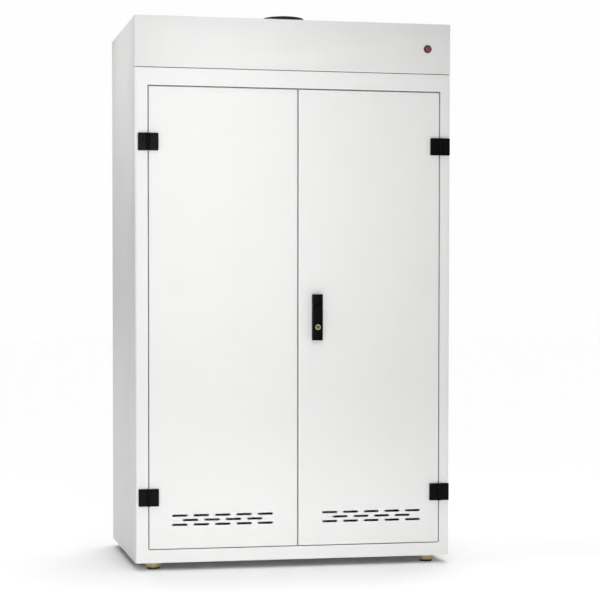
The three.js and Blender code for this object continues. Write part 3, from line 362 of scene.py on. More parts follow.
def bridgeRims(bm, rims):
    for first, second in zip(rims, rims[1:]):
        bmesh.ops.bridge_loops(bm, edges=first + second)


def fillBetween(bm, *rims):
    # flat sheet facing the front, with whatever lies inside the first rim left open
    edges = [edge for rim in rims for edge in rim]
    bmesh.ops.triangle_fill(bm, use_beauty=True, use_dissolve=False, edges=edges, normal=(0, -1, 0))


def grown(span, distance):
    return (span[0] - distance, span[1] + distance)


def asObject(name, bm, shellFront=None):
    # shellFront is the side that an open shell shows, since only a closed one knows its outside
    bmesh.ops.remove_doubles(bm, verts=bm.verts, dist=doubleReach)
    bmesh.ops.recalc_face_normals(bm, faces=bm.faces)
    if shellFront is not None:
        if sum(face.calc_area() * face.normal.dot(Vector(shellFront)) for face in bm.faces) < 0:
            bmesh.ops.reverse_faces(bm, faces=bm.faces)
    mesh = bpy.data.meshes.new(name)
    bm.to_mesh(mesh)
    bm.free()
    obj = bpy.data.objects.new(name, mesh)
    bpy.context.scene.collection.objects.link(obj)
    return obj


def applyModifiers(obj):
    bpy.context.view_layer.update()
    shown = obj.evaluated_get(bpy.context.evaluated_depsgraph_get())
    obj.data = bpy.data.meshes.new_from_object(shown)
    obj.modifiers.clear()


def giveWall(obj, thickness):
    wall = obj.modifiers.new("wall", "SOLIDIFY")
    wall.thickness = thickness
    wall.offset = -1
    wall.use_even_offset = True
    applyModifiers(obj)


def cutWith(obj, cutterMesh, operation="DIFFERENCE"):
    # cuts or joins the obj with a bmesh, then drops the cutter
    cutter = asObject("cutter", cutterMesh)
    boolean = obj.modifiers.new("cut", "BOOLEAN")
    boolean.object = cutter
    boolean.operation = operation
    boolean.solver = "EXACT"
    applyModifiers(obj)
    bpy.data.objects.remove(cutter)


# creases that are rounded, and those that stay sharp in the shading, from this many degrees on
crease = {"rounded": 35, "roundedOnNodes": 40, "sharp": 32, "segments": 2}


def softenEdges(obj, width):
    edge = obj.modifiers.new("softEdges", "BEVEL")
    edge.width = width
    edge.segments = crease["segments"]
    edge.limit_method = "ANGLE"
    edge.angle_limit = math.radians(crease["rounded"])
    edge.use_clamp_overlap = True
    edge.harden_normals = True


def finishPiece(obj, material, body, replaced=(), edge=0.0):
    obj.data.materials.clear()
    obj.data.materials.append(material)
    obj.data.polygons.foreach_set("use_smooth", [True] * len(obj.data.polygons))
    obj.data.set_sharp_from_angle(angle=math.radians(crease["sharp"]))
    if edge:
        softenEdges(obj, edge)
    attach(obj, body)
    if replaced:
        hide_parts(*replaced)


# Places taken from the frame
def middleOf(nodeName):
    low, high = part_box(nodeName)
    return (low + high) / 2


frameLow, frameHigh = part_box("front_frame")
headerLow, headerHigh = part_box("header_panel")
frontY = frameLow.y
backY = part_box("back_panel")[1].y
leftX, rightX = frameLow.x, frameHigh.x
baseZ, roofZ = frameLow.z, headerHigh.z
sheet = 1.5 * mm

# Front frame and header
frontFrame = {
    "openingX": (-514 * mm, 522 * mm),
    "openingZ": (72 * mm, 1664 * mm),
    "returnDepth": 35 * mm,
    "hemWidth": 20 * mm,
    "stopFace": 23 * mm,
    "stopWidth": 18 * mm,
    "cornerRadius": 6.5 * mm,  # upright corners of the folded frame
    "cornerSegments": 5,
    "bendRadius": 1.0 * mm,
    "bendSegments": 3,
    "reliefRadius": 8 * mm,  # lower right corner of the opening
    "reliefSegments": 6,
    "plainRim": 10 * mm,
}
# holes for the bolts and rods, in the ends of the doors and in the frame that faces them:
# spans in X and behind the front, in millimetres
edgeHoles = {
    "bolts": {"x": (-34.9, -24.1), "y": (11.7, 18.5), "ends": ("top", "bottom")},
    "upperRod": {"x": (90.8, 99.6), "y": (5.6, 12.4), "ends": ("top",)},
    "lowerRod": {"x": (54.4, 63.2), "y": (5.6, 12.4), "ends": ("bottom",)},
    "reach": 3 * mm,  # of the cutters, to both sides of the edge
}


def holeCutters(names, spanZ, values):
    bm = bmesh.new()
    for hole in [values[name] for name in names]:
        x0, x1 = [x * mm for x in hole["x"]]
        y0, y1 = [frontY + y * mm for y in hole["y"]]
        for end in hole["ends"]:
            z = spanZ[1 if end == "top" else 0]
            addBox(bm, (x0, y0, z - values["reach"]), (x1, y1, z + values["reach"]))
    return bm


def addHems(bm, y, hemWidth, low, high):
    # turns a short hem inwards from the two upright edges of the return
    for side, x in ((-1, low), (1, high)):
        edges = edgesWhere(bm, lambda p: abs(p.y - y) < nearby and abs(p.x - x) < nearby)
        made = bmesh.ops.extrude_edge_only(bm, edges=edges)["geom"]
        verts = [item for item in made if isinstance(item, bmesh.types.BMVert)]
        bmesh.ops.translate(bm, vec=(-side * hemWidth, 0, 0), verts=verts)


def outerEdges(bm, axis, span):
    # front edges that lie wholly at one end of a span in X (axis 0) or in Z (axis 2)
    front = frontY + nearby
    low = edgesWhere(bm, lambda p: p.y < front and p[axis] < span[0] + nearby)
    high = edgesWhere(bm, lambda p: p.y < front and p[axis] > span[1] - nearby)
    return low + high


def makeFrontFrame(values):
    bm = bmesh.new()
    spanX, spanZ = (leftX, rightX), (frameLow.z, frameHigh.z)
    openX, openZ = values["openingX"], values["openingZ"]
    back, stop = frontY + values["returnDepth"], frontY + values["stopFace"]
    inner = rimXZ(bm, grown(spanX, -values["plainRim"]), grown(spanZ, -values["plainRim"]), frontY)
    opening = rimXZ(bm, openX, openZ, frontY)
    fillBetween(bm, inner, opening)
    bridgeRims(bm, [rimXZ(bm, spanX, spanZ, back), rimXZ(bm, spanX, spanZ, frontY), inner])
    stopRim = rimXZ(bm, openX, openZ, stop)
    bridgeRims(bm, [opening, stopRim])
    width = values["stopWidth"]
    fillBetween(bm, stopRim, rimXZ(bm, grown(openX, -width), grown(openZ, -width), stop))
    bmesh.ops.remove_doubles(bm, verts=bm.verts, dist=weldReach)
    addHems(bm, back, values["hemWidth"] - sheet, leftX, rightX)
    corner = Vector((openX[1], 0, openZ[0]))
    relief = edgesWhere(bm, lambda p: (Vector((p.x, 0, p.z)) - corner).length < nearby)
    roundEdges(bm, relief, values["reliefRadius"], values["reliefSegments"])
    roundEdges(bm, outerEdges(bm, 0, spanX), values["cornerRadius"], values["cornerSegments"])
    roundEdges(bm, outerEdges(bm, 2, spanZ), values["bendRadius"], values["bendSegments"])
    obj = asObject("frontFrameSheet", bm, (0, -1, 0))
    giveWall(obj, sheet)
    cutWith(obj, holeCutters(["upperRod", "lowerRod", "bolts"], openZ, edgeHoles))
    finishPiece(obj, powderCoat, "cabinet", ["front_frame"])


makeFrontFrame(frontFrame)

headerPanel = {
    "edgeRadius": 0.6 * mm,
    "edgeSegments": 3,
    "returnDepth": 35 * mm,
    "hemWidth": 20 * mm,
    "holeRadius": 11.4 * mm,
    "holeSpan": (-6 * mm, 6 * mm),
    "holeSteps": 32,
}
buttonMiddle = middleOf("switch_button")
buttonPlace = (buttonMiddle.x, frontY, buttonMiddle.z)


def makeHeaderPanel(values):
    bm = bmesh.new()
    spanX, spanZ = (leftX, rightX), (headerLow.z, headerHigh.z)
    back = frontY + values["returnDepth"]
    front = rimXZ(bm, spanX, spanZ, frontY)
    bridgeRims(bm, [rimXZ(bm, spanX, spanZ, back), front])
    bmesh.ops.contextual_create(bm, geom=front)
    addHems(bm, back, values["hemWidth"] - sheet, leftX, rightX)
    faceEdges = edgesWhere(bm, lambda p: p.y < frontY + nearby)
    roundEdges(bm, faceEdges, values["edgeRadius"], values["edgeSegments"])
    obj = asObject("headerSheet", bm, (0, -1, 0))
    giveWall(obj, sheet)
    cutWith(obj, rodMesh(values["holeRadius"], values["holeSpan"], buttonPlace, values["holeSteps"], "Y"))
    finishPiece(obj, headerCoat, "cabinet", ["header_panel"])


makeHeaderPanel(headerPanel)
print("front frame and header made")

# Doors
doorSkin = {
    "depth": 20 * mm,
    "foldRadius": 2.0 * mm,
    "foldSegments": 3,
    "slotLength": 53.5 * mm,
    "slotHeight": 8 * mm,
    "slotSegments": 20,
    "slotPitch": 75 * mm,
    "rowPitch": 15.8 * mm,
    "slotMiddle": 173 * mm,  # height of the middle row above the floor
    "slotShift": {"left": -4 * mm, "right": 9 * mm},  # middle of the slots' field off the leaf's middle
    "rowCounts": (5, 4, 5),
    "plainRim": 12 * mm,  # flat border kept clear of the slots' field
    "drawnIn": 0.5 * mm,  # the folds sit this far inside the leaf's outline at its sides
    "drawnDown": 1.5 * mm,  # and this far below its top
    "holes": {"left": ["bolts"], "right": ["upperRod", "lowerRod"]},
}


def addSlot(bm, place, values):
    # outline of a slot with round ends: a circle whose halves are pulled apart
    radius = values["slotHeight"] / 2
    straight = (values["slotLength"] - values["slotHeight"]) / 2
    verts = bmesh.ops.create_circle(bm, radius=radius, segments=values["slotSegments"])["verts"]
    bmesh.ops.rotate(bm, cent=(0, 0, 0), matrix=Matrix.Rotation(math.pi / 2, 3, "X"), verts=verts)
    left = [vert for vert in verts if vert.co.x < -weldReach]
    rest = [vert for vert in verts if vert.co.x >= -weldReach]
    bmesh.ops.translate(bm, vec=(straight, 0, 0), verts=rest)
    bmesh.ops.translate(bm, vec=(-straight, 0, 0), verts=left)
    bmesh.ops.translate(bm, vec=place, verts=verts)
    return edgesOf(verts)


def makeDoorSkin(sideName, values):
    node = f"{sideName}_door_skin"
    low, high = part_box(node)
    spanX = grown((low.x, high.x), -values["drawnIn"])
    spanZ = (low.z, high.z - values["drawnDown"])
    middle = (spanX[0] + spanX[1]) / 2 + values["slotShift"][sideName]
    bm = bmesh.new()
    inner = rimXZ(bm, grown(spanX, -values["plainRim"]), grown(spanZ, -values["plainRim"]), frontY)
    faceEdges = list(inner)
    for row, count in enumerate(values["rowCounts"]):
        z = values["slotMiddle"] + (row - 1) * values["rowPitch"]
        for index in range(count):
            x = middle + (index - (count - 1) / 2) * values["slotPitch"]
            faceEdges += addSlot(bm, (x, frontY, z), values)
    fillBetween(bm, faceEdges)
    back = rimXZ(bm, spanX, spanZ, frontY + values["depth"])
    bridgeRims(bm, [back, rimXZ(bm, spanX, spanZ, frontY), inner])
    bmesh.ops.remove_doubles(bm, verts=bm.verts, dist=weldReach)
    folds = outerEdges(bm, 0, spanX) + outerEdges(bm, 2, spanZ)
    roundEdges(bm, folds, values["foldRadius"], values["foldSegments"])
    obj = asObject(f"{sideName}DoorSheet", bm, (0, -1, 0))
    giveWall(obj, sheet)
    cutWith(obj, holeCutters(values["holes"][sideName], spanZ, edgeHoles))
    finishPiece(obj, powderCoat, f"{sideName}_door", [node])


for sideName in ("left", "right"):
    makeDoorSkin(sideName, doorSkin)
print("doors made")

# Hinges
hinge = {
    "leafReach": (1 * mm, 35 * mm),  # from the pin's axis, sideways
    "leafThickness": 6.7 * mm,
    "leafRadius": 3 * mm,  # rounded outer corners of each cast leaf
    "leafSegments": 5,
    "edge": 0.8 * mm,
    "knuckleSteps": 48,
    "knuckle": 6.5 * mm,
    "knuckleClearance": 7.1 * mm,
    "endClearance": 0.3 * mm,
    "spans": {  # heights of each leaf's own knuckles, from the hinge's middle
        "frame": [(-30 * mm, -15 * mm), (15 * mm, 30 * mm)],
        "door": [(-14.7 * mm, 14.7 * mm)],
    },
    "bore": 2.9 * mm,
    "boreSpan": (-34 * mm, 34 * mm),
    "boreSteps": 24,
    "pinRadius": 2.5 * mm,
    "pinEndRadius": 1.7 * mm,
    "pinChamfer": 0.8 * mm,
    "pinSteps": 32,
}


def makeLeaf(label, stem, kind, body, side, axis, values):
    node = f"{stem}_{kind}_leaf"
    low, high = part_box(node)
    near, far = [axis.x + side * reach for reach in values["leafReach"]]
    bm = bmesh.new()
    front = high.y - values["leafThickness"]
    addBox(bm, (min(near, far), front, low.z), (max(near, far), high.y, high.z))
    outer = edgesWhere(bm, lambda p: abs(p.x - far) < nearby)
    corners = [edge for edge in outer if runsInY(edge)]
    roundEdges(bm, corners, values["leafRadius"], values["leafSegments"])
    obj = asObject(f"{label}{kind.capitalize()}Leaf", bm)
    otherKind = "door" if kind == "frame" else "frame"
    for span in values["spans"][otherKind]:
        gap = grown(span, values["endClearance"])
        cutWith(obj, rodMesh(values["knuckleClearance"], gap, axis, values["knuckleSteps"]))
    for span in values["spans"][kind]:
        cutWith(obj, rodMesh(values["knuckle"], span, axis, values["knuckleSteps"]), "UNION")
    cutWith(obj, rodMesh(values["bore"], values["boreSpan"], axis, values["boreSteps"]))
    finishPiece(obj, hingeCoat, body, [node], edge=values["edge"])


def makeHingePin(label, stem, values):
    node = f"{stem}_pin"
    low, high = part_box(node)
    half, radius, endRadius = (high.z - low.z) / 2, values["pinRadius"], values["pinEndRadius"]
    straight = half - values["pinChamfer"]
    pin = turnedMesh([
        (0, -half), (endRadius, -half), (radius, -straight),
        (radius, straight), (endRadius, half), (0, half),
    ], middleOf(node), values["pinSteps"])
    finishPiece(asObject(f"{label}Pin", pin), brightZinc, "cabinet", [node])


for sideName, doorSide in (("left", 1), ("right", -1)):
    for level in ("upper", "lower"):
        stem = f"hinge_{level}_{sideName}"
        label = level + sideName.capitalize()
        axis = middleOf(f"{stem}_pin")
        makeLeaf(label, stem, "frame", "cabinet", -doorSide, axis, hinge)
        makeLeaf(label, stem, "door", f"{sideName}_door", doorSide, axis, hinge)
        makeHingePin(label, stem, hinge)
print("hinges made")

# Lever handle
handle = {
    "plateCorner": 4 * mm,
    "plateSegments": 5,
    "gripDepth": 16 * mm,
    "facetWidth": 7.5 * mm,  # slanted strips along both long edges of the grip
    "facetDepth": 2 * mm,
    "edge": 0.6 * mm,
    "headBelow": 8 * mm,  # the head's block ends this far below the joint
    "shoulderBelow": 8.5 * mm,  # and the grip starts this far below it
    "earWidth": 7.5 * mm,
    "slotAbove": 8.3 * mm,  # the slot between the ears, from the joint
    "slotBelow": 14 * mm,
    "tongueGap": 0.15 * mm,
    "tongueRoot": 3 * mm,  # how far the tongue runs on inside the grip
    "overlap": 1 * mm,  # forms that are joined run this far into each other
    "cutReach": 4 * mm,
    "tabSteps": 28,  # half turn round the joint, at the ears and the tongue
    "pinBore": 2.9 * mm,
    "pinRadius": 2.5 * mm,
    "pinEdge": 0.3 * mm,
    "pinSteps": 24,
    "shaftRadius": 6 * mm,
    "shaftDrop": 20 * mm,  # spindle's axis below the top of the plate
    "shaftSteps": 32,
    "lockDrop": 114 * mm,  # and the lock's
    "lockSeat": 9.9 * mm,
    "lockSeatSpan": (-24 * mm, 24 * mm),
    "lockSeatSteps": 48,
}


def makeHandlePlate(values):
    low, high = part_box("handle_plate")
    bm = bmesh.new()
    addBox(bm, low, high)
    corners = [edge for edge in bm.edges if runsInY(edge)]
    roundEdges(bm, corners, values["plateCorner"], values["plateSegments"])
    finishPiece(asObject("handleBackPlate", bm), castCoat, "right_door",
                ["handle_plate"], edge=values["edge"])


def prism(corners, along):
    # a flat outline pushed straight through by one vector
    bm = bmesh.new()
    face = bm.faces.new([bm.verts.new(corner) for corner in corners])
    made = bmesh.ops.extrude_face_region(bm, geom=[face])["geom"]
    verts = [item for item in made if isinstance(item, bmesh.types.BMVert)]
    bmesh.ops.translate(bm, vec=along, verts=verts)
    bmesh.ops.recalc_face_normals(bm, faces=bm.faces)
    return bm


def facetedBar(spanX, spanY, spanZ, values):
    (x0, x1), (front, rear) = spanX, spanY
    wide, slant = values["facetWidth"], front + values["facetDepth"]
    outline = [(x0, rear), (x0, slant), (x0 + wide, front), (x1 - wide, front), (x1, slant), (x1, rear)]
    return prism([(x, y, spanZ[0]) for x, y in outline], (0, 0, spanZ[1] - spanZ[0]))


def roundedTab(spanX, spanY, axisZ, endZ, steps):
    # side view of an ear or tongue: half a circle about the joint, straight on to endZ
    axisY, radius = (spanY[0] + spanY[1]) / 2, (spanY[1] - spanY[0]) / 2
    turn = -1 if endZ > axisZ else 1
    angles = [math.pi * i / steps for i in range(steps + 1)]
    outline = [
        (axisY + radius * math.cos(angle), axisZ + turn * radius * math.sin(angle)) for angle in angles]
    outline += [(spanY[0], endZ), (spanY[1], endZ)]
    return prism([(spanX[0], y, z) for y, z in outline], (spanX[1] - spanX[0], 0, 0))


def makeHead(spanX, spanY, top, joint, values):
    # block over the spindle, with two ears round the lever's tongue
    overlap, reach = values["overlap"], values["cutReach"]
    block = facetedBar(spanX, spanY, (joint.z - values["headBelow"], top), values)
    head = asObject("leverHead", block)
    ears = roundedTab(grown(spanX, overlap), spanY, joint.z, top + overlap, values["tabSteps"])
    cutWith(head, ears, "INTERSECT")
    (x0, x1), (y0, y1) = grown(spanX, -values["earWidth"]), grown(spanY, reach)
    slot = bmesh.new()
    addBox(slot, (x0, y0, joint.z - values["slotBelow"]), (x1, y1, joint.z + values["slotAbove"]))
    cutWith(head, slot)
    place = (0, joint.y, joint.z)
    cutWith(head, rodMesh(values["pinBore"], grown(spanX, reach), place, values["pinSteps"], "X"))
    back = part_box("spindle_head")[1].y
    place = ((spanX[0] + spanX[1]) / 2, back, top - values["shaftDrop"])
    length = back - spanY[1] + overlap
    shaft = rodMesh(values["shaftRadius"], (0, length), place, values["shaftSteps"], "Y")
    cutWith(head, shaft, "UNION")
    finishPiece(head, castCoat, "spindle", ["spindle_head"], edge=values["edge"])


def makeGrip(spanX, spanY, top, joint, values):
    # grip below the joint, with the tongue that hangs on the pin
    shoulder = joint.z - values["shoulderBelow"]
    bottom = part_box("lever")[0].z
    grip = asObject("leverGrip", facetedBar(spanX, spanY, (bottom, shoulder), values))
    tongueX = grown(spanX, -values["earWidth"] - values["tongueGap"])
    root = shoulder - values["tongueRoot"]
    cutWith(grip, roundedTab(tongueX, spanY, joint.z, root, values["tabSteps"]), "UNION")
    reach = grown(spanX, values["cutReach"])
    place = (0, joint.y, joint.z)
    cutWith(grip, rodMesh(values["pinBore"], reach, place, values["pinSteps"], "X"))
    place = ((spanX[0] + spanX[1]) / 2, joint.y, top - values["lockDrop"])
    cutWith(grip, rodMesh(values["lockSeat"], values["lockSeatSpan"], place, values["lockSeatSteps"], "Y"))
    finishPiece(grip, castCoat, "lever", ["lever"], edge=values["edge"])


def makeHandle(values):
    plateLow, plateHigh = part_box("handle_plate")
    pinLow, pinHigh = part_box("lever_pin")
    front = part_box("lever")[0].y
    spanX, spanY = (plateLow.x, plateHigh.x), (front, front + values["gripDepth"])
    joint = middleOf("lever_pin")
    makeHead(spanX, spanY, plateHigh.z, joint, values)
    makeGrip(spanX, spanY, plateHigh.z, joint, values)
    place = (0, joint.y, joint.z)
    pin = rodMesh(values["pinRadius"], (pinLow.x, pinHigh.x), place, values["pinSteps"], "X")
    finishPiece(asObject("leverJointPin", pin), brightZinc, "spindle", ["lever_pin"],
                edge=values["pinEdge"])


makeHandlePlate(handle)
makeHandle(handle)

# Lock in the grip
lock = {
    # outlines of (radius, height) in millimetres, with heights from the lock's front
    "ringOutline": [(0, -1.6), (6.5, -1.6), (6.6, -0.5), (7.2, 0), (8.0, 0), (9.5, -1.0)],
    "ringRadius": 9.5 * mm,
    "ringSteps": 64,
    "coreOutline": [(0, -0.4), (5.7, -0.4), (6.3, -0.8), (6.3, -1.5), (0, -1.5)],
    "coreSteps": 48,
    "keyway": (1.8 * mm, 8.8 * mm),
    "keywayDepth": 1.2 * mm,
    "keywayReach": 2 * mm,  # in front of the lock, for the cut
}


def makeLock(values):
    low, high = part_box("lock_cylinder")
    middle = (low + high) / 2
    tip, radius = (high.y - low.y) / 2, values["ringRadius"]
    # ring with a coned lip, and the turning core sunk a little inside it
    outline = [*inMetres(values["ringOutline"], tip), (radius, -tip), (0, -tip)]
    ring = asObject("lockRing", turnedMesh(outline, middle, values["ringSteps"], "Y"))
    finishPiece(ring, nickelPlate, "lock_cylinder", ["lock_cylinder"])
    outline = inMetres(values["coreOutline"], tip)
    core = asObject("lockCore", turnedMesh(outline, middle, values["coreSteps"], "Y"))
    x, z = [size / 2 for size in values["keyway"]]
    front, back = low.y - values["keywayReach"], low.y + values["keywayDepth"]
    keyway = bmesh.new()
    addBox(keyway, (middle.x - x, front, middle.z - z), (middle.x + x, back, middle.z + z))
    cutWith(core, keyway)
    finishPiece(core, turnedBrass, "lock_cylinder")


makeLock(lock)
print("handle and lock made")

# Push button
button = {
    # outlines of (radius, height) in millimetres: the bezel's from the panel, the cap's from its own top
    "bezelOutline": [
        (11, 0.3), (14.25, 0.3), (14.25, 1.6), (13.6, 2.6), (11.6, 4.0), (10.2, 4.0),
        (9.4, 3.2), (9.0, 2.4),
    ],
    "capOutline": [
        (8.5, -1.6), (8.2, -0.8), (7.4, -0.25), (6.6, -0.1), (6.2, -0.5), (3.5, -0.25), (0, -0.15),
    ],
    "barrelRadius": 11 * mm,
    "pocketRadius": 9.0 * mm,
    "pocketDepth": 3.5 * mm,  # room behind the cap
    "capRadius": 8.5 * mm,
    "steps": 64,
}


def makeButton(values):
    # heights run out of the panel, towards the viewer, once the outline is turned to the Y axis
    capLow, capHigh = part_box("switch_button")
    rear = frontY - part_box("switch_housing")[1].y
    tip, end = frontY - capLow.y, frontY - capHigh.y
    pocket = end - values["pocketDepth"]
    bezel = turnedMesh([
        (0, rear), (values["barrelRadius"], rear), *inMetres(values["bezelOutline"]),
        (values["pocketRadius"], pocket), (0, pocket),
    ], buttonPlace, values["steps"], "Y")
    finishPiece(asObject("buttonBezel", bezel), bezelPlastic, "cabinet", ["switch_housing"])
    cap = turnedMesh([
        (0, end), (values["capRadius"], end), *inMetres(values["capOutline"], tip),
    ], buttonPlace, values["steps"], "Y")
    finishPiece(asObject("buttonCap", cap), redPolycarbonate, "switch_button",
                ["switch_button"])


makeButton(button)

# Outlet collar on the roof
collar = {
    "steps": 96,
    # outline of (radius, height) above the roof, in millimetres: flange, body, shoulder, neck, inside
    "outline": [
        (63, -12), (66, -12), (66, 0.3), (72.6, 0.3),
        (73.8, 1.6), (73.8, 30.6), (72.9, 32.1), (70.8, 33),
        (51, 35.1), (47.6, 35.6), (47, 36.1), (46.7, 36.8), (46.2, 37), (44.6, 37), (44, 36.5),
        (44, 32.5), (70.4, 29.6), (70.8, 28), (70.8, 3.3), (63, 3.3), (63, -12),
    ],
    "nubTurns": (-8, 9, 27),  # degrees off the front, of three rounded nubs on the neck
    "nubSize": (6.5 * mm, 4 * mm, 3.4 * mm),
    "nubPlace": (0, -50.6 * mm, 33.5 * mm),
}


def makeCollar(values):
    centre = middleOf("outlet_collar")
    centre.z = roofZ
    ring = asObject("outletCollarRing", turnedMesh(inMetres(values["outline"]), centre, values["steps"]))
    for degrees in values["nubTurns"]:
        nub = bmesh.new()
        turn = Matrix.Rotation(math.radians(degrees), 3, "Z")
        bmesh.ops.create_uvsphere(nub, u_segments=20, v_segments=12, radius=1)
        bmesh.ops.scale(nub, vec=values["nubSize"], verts=nub.verts)
        bmesh.ops.translate(nub, vec=values["nubPlace"], verts=nub.verts)
        bmesh.ops.rotate(nub, cent=(0, 0, 0), matrix=turn, verts=nub.verts)
        bmesh.ops.translate(nub, vec=centre, verts=nub.verts)
        cutWith(ring, nub, "UNION")
    finishPiece(ring, mouldedAbs, "cabinet", ["outlet_collar"])


makeCollar(collar)
print("button and collar made")

# Feet
foot = {
    "steps": 64,
    # outlines of (radius, height) in millimetres: pad and cup from the floor, stud from the base
    "padOutline": [
        (0, 0.6), (8, 0.6), (8.6, 0), (12, 0), (12.6, 0.8), (15, 0.8), (15.6, 0), (20.8, 0), (22, 1.2),
        (22, 4.8), (21.2, 6), (17, 6), (17, 8), (0, 8),
    ],
    "cupOutline": [
        (0, 8.3), (17.4, 8.3), (17.4, 6.3), (20.4, 6.3), (21.2, 7.2), (22.6, 10), (24.6, 14), (27.6, 18.5),
        (30.2, 22), (31, 23.6),
    ],
    "studOutline": [
        (31, -1.1), (30.2, -0.3), (5, -0.3), (5, 1.8), (9, 1.8), (9, 9.8), (5, 9.8), (5, 16), (0, 16),
    ],
}


def makeFoot(label, suffix, values):
    centre = middleOf(f"foot_pad_{suffix}")
    centre.z = 0
    pad = turnedMesh(inMetres(values["padOutline"]), centre, values["steps"])
    finishPiece(asObject(f"{label}Pad", pad), pressedRubber, "cabinet",
                [f"foot_pad_{suffix}"])
    outline = inMetres(values["cupOutline"]) + inMetres(values["studOutline"], baseZ)
    cup = turnedMesh(outline, centre, values["steps"])
    finishPiece(asObject(f"{label}Cup", cup), goldPassivate, "cabinet",
                [f"foot_cup_{suffix}"])


for sideName in ("left", "right"):
    for endName in ("front", "back"):
        makeFoot(f"{endName}{sideName.capitalize()}Foot", f"{endName}_{sideName}", foot)
print("feet made")

# Side and back sheets with their screws
sheetScrews = {
    # places on the sheets in millimetres: behind the front or right of the middle, and above the floor
    "side": [(665, 1721), (582, 74)],
    "back": [
        (-546, 110), (-546, 530), (-546, 950), (-546, 1370), (-546, 1800),
        (546, 110), (546, 530), (546, 950), (546, 1370), (546, 1800),
        (-330, 40), (0, 40), (330, 40), (-330, 1887), (0, 1887), (330, 1887),
    ],
    # outlines of (radius, height) in millimetres, with heights out of the sheet
    "holeOutline": [(0, -6), (2.1, -6), (2.1, -1.2), (4.05, -0.25), (4.3, 1), (0, 1)],
    "screwOutline": [
        (0, -1.1), (1.2, -1.1), (1.5, -0.22), (3.5, -0.12), (3.9, -0.27), (2.0, -1.2), (2.0, -7), (0, -7),
    ],
    "steps": 32,
    "edge": 0.5 * mm,
}


def copyOfNode(name, nodeName):
    bm = bmesh.new()
    bm.from_mesh(frame["nodes"][nodeName].data)
    bmesh.ops.remove_doubles(bm, verts=bm.verts, dist=weldReach)
    return asObject(name, bm)


def turnedStuds(outline, places, outward, steps):
    # one turned form at each place, with its heights running outwards
    turn = Vector((0, 0, 1)).rotation_difference(outward).to_matrix()
    bm = bmesh.new()
    for place in places:
        made = addSpun(bm, inMetres(outline), (0, 0, 0), steps)
        bmesh.ops.rotate(bm, cent=(0, 0, 0), matrix=turn, verts=made)
        bmesh.ops.translate(bm, vec=place, verts=made)
    return bm


def makeScrewedSheet(name, nodeName, places, outward, values):
    # the node's own sheet with countersunk screws, their heads just under its face
    panel = copyOfNode(name, nodeName)
    softenEdges(panel, values["edge"])
    applyModifiers(panel)
    cutWith(panel, turnedStuds(values["holeOutline"], places, outward, values["steps"]))
    finishPiece(panel, powderCoat, "cabinet", [nodeName])
    flat = panel.modifiers.new("faceNormals", "WEIGHTED_NORMAL")
    flat.keep_sharp = True
    studs = turnedStuds(values["screwOutline"], places, outward, values["steps"])
    finishPiece(asObject(f"{name}Screws", studs), brightZinc, "cabinet")


for sideName, x, turn in (("left", leftX, -1), ("right", rightX, 1)):
    places = [(x, frontY + y * mm, z * mm) for y, z in sheetScrews["side"]]
    makeScrewedSheet(f"{sideName}SideSheet", f"{sideName}_side_panel", places, Vector((turn, 0, 0)),
                     sheetScrews)
backPlaces = [(x * mm, backY, z * mm) for x, z in sheetScrews["back"]]
makeScrewedSheet("backSheet", "back_panel", backPlaces, Vector((0, 1, 0)), sheetScrews)
print("side and back sheets made")

# Finish of the CAD nodes that stay
keptNodes = {"edge": 0.35 * mm, "galvanised": ("fan_housing", "gearbox_cover")}
slotOfNode = {row["node"]: row["material_slot"] for row in frame["record"]["subparts"]}


def finishNode(nodeName, node, values):
    material = galvanised if nodeName in values["galvanised"] else finishOfSlot[slotOfNode[nodeName]]
    for index in range(len(node.material_slots)):
        node.material_slots[index].material = material
    weld = node.modifiers.new("weld", "WELD")
    weld.merge_threshold = weldReach
    edge = node.modifiers.new("softEdges", "BEVEL")
    edge.width = values["edge"]
    edge.segments = crease["segments"]
    edge.limit_method = "ANGLE"
    edge.angle_limit = math.radians(crease["roundedOnNodes"])


for nodeName, node in frame["nodes"].items():
    if not node.hide_render:
        finishNode(nodeName, node, keptNodes)
print("CAD nodes finished")

# Floor and light
studio = {
    "floorSize": 80,
    "floorColour": "#fefefe",
    "floorRoughness": 0.95,
    "ambient": 0.135,
    "backdrop": 0.99,  # the paper roll that the camera sees
    # wide overhead banks: turns about X and Y in degrees, from shining straight down
    "banks": {
        "right": {"strength": 0.72, "angle": 50, "turn": (-4, 26)},
        "left": {"strength": 0.69, "angle": 45, "turn": (-4, -26)},
        "rear": {"strength": 1.18, "angle": 30, "turn": (-22, 4)},
        "front": {"strength": 0.4, "angle": 50, "turn": (30, 6)},
    },
    # softboxes for the left half, the header, the sill and the left side
    "softboxes": {
        "tall": {
            "power": 4.8, "place": (-0.25, -2.35, 1.25), "aim": (-0.25, 0, 1.0),
            "size": (0.7, 2.2), "spread": 86, "mirrored": True,
        },
        "high": {
            "power": 2.5, "place": (-0.3, -2.2, 2.3), "aim": (-0.15, 0, 1.7),
            "size": (1.0, 0.6), "spread": 120, "mirrored": True,
        },
        "low": {
            "power": 1.3, "place": (-0.1, -2.2, 0.2), "aim": (-0.1, 0, -0.15),
            "size": (1.8, 0.3), "spread": 44, "mirrored": False,  # it would show in the lower hinges
        },
        "side": {
            "power": 1.4, "place": (-2.0, -0.1, 2.3), "aim": (-0.56, 0, 1.75),
            "size": (0.6, 0.5), "spread": 60, "mirrored": True,
        },
    },
}


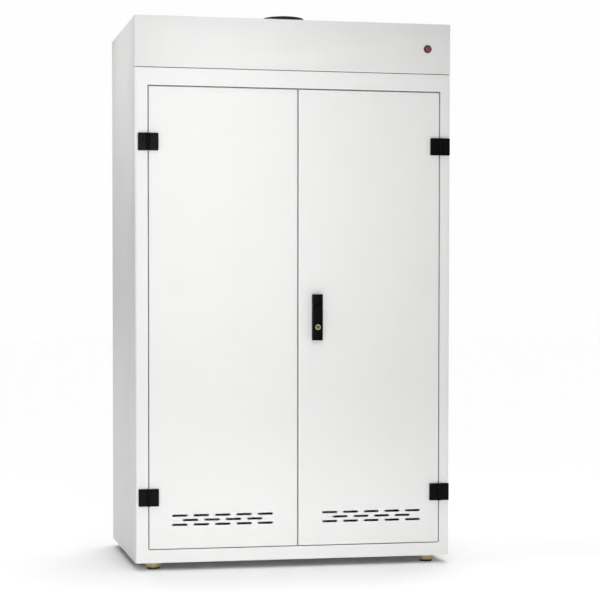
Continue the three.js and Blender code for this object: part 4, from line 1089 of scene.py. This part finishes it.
def makeFloor(values):
    bm = bmesh.new()
    bmesh.ops.create_grid(bm, x_segments=1, y_segments=1, size=values["floorSize"] / 2)
    mesh = bpy.data.meshes.new("studioFloor")
    bm.to_mesh(mesh)
    bm.free()
    floor = bpy.data.objects.new("studioFloor", mesh)
    bpy.context.scene.collection.objects.link(floor)
    # matt white studio paper
    paper = bpy.data.materials.new("mattStudioPaper")
    paper.use_nodes = True
    shader = paper.node_tree.nodes["Principled BSDF"]
    shader.inputs["Base Color"].default_value = linearColour(values["floorColour"])
    shader.inputs["Roughness"].default_value = values["floorRoughness"]
    shader.inputs["Specular IOR Level"].default_value = 0.0
    mesh.materials.append(paper)


def makeWorld(values):
    # soft room light, with a white paper roll behind whatever the camera sees
    world = bpy.data.worlds.new("studioRoom")
    world.use_nodes = True
    bpy.context.scene.world = world
    tree = world.node_tree
    background = tree.nodes["Background"]
    seen = addNode(tree, "ShaderNodeLightPath").outputs["Is Camera Ray"]
    strengths = {"To Min": values["ambient"], "To Max": values["backdrop"]}
    level = addNode(tree, "ShaderNodeMapRange", strengths, {"Value": seen})
    tree.links.new(level.outputs["Result"], background.inputs["Strength"])
    background.inputs["Color"].default_value = (1, 1, 1, 1)


def addSoftbox(name, values):
    light = bpy.data.lights.new(name, "AREA")
    light.energy = values["power"]
    light.shape = "RECTANGLE"
    light.size, light.size_y = values["size"]
    light.spread = math.radians(values["spread"])
    obj = bpy.data.objects.new(name, light)
    obj.location = values["place"]
    aim = Vector(values["aim"]) - Vector(values["place"])
    obj.rotation_euler = aim.to_track_quat("-Z", "Y").to_euler()
    obj.visible_camera = False
    obj.visible_glossy = values["mirrored"]
    bpy.context.scene.collection.objects.link(obj)


def addSun(name, values):
    light = bpy.data.lights.new(name, "SUN")
    light.energy = values["strength"]
    light.angle = math.radians(values["angle"])
    obj = bpy.data.objects.new(name, light)
    obj.rotation_euler = [math.radians(angle) for angle in (*values["turn"], 0)]
    bpy.context.scene.collection.objects.link(obj)


def makeLights(values):
    for name, bank in values["banks"].items():
        addSun(f"{name}Bank", bank)
    for name, softbox in values["softboxes"].items():
        addSoftbox(f"{name}Softbox", softbox)


makeFloor(studio)
makeWorld(studio)
makeLights(studio)
bpy.context.scene.view_settings.view_transform = "Standard"
print("studio made")
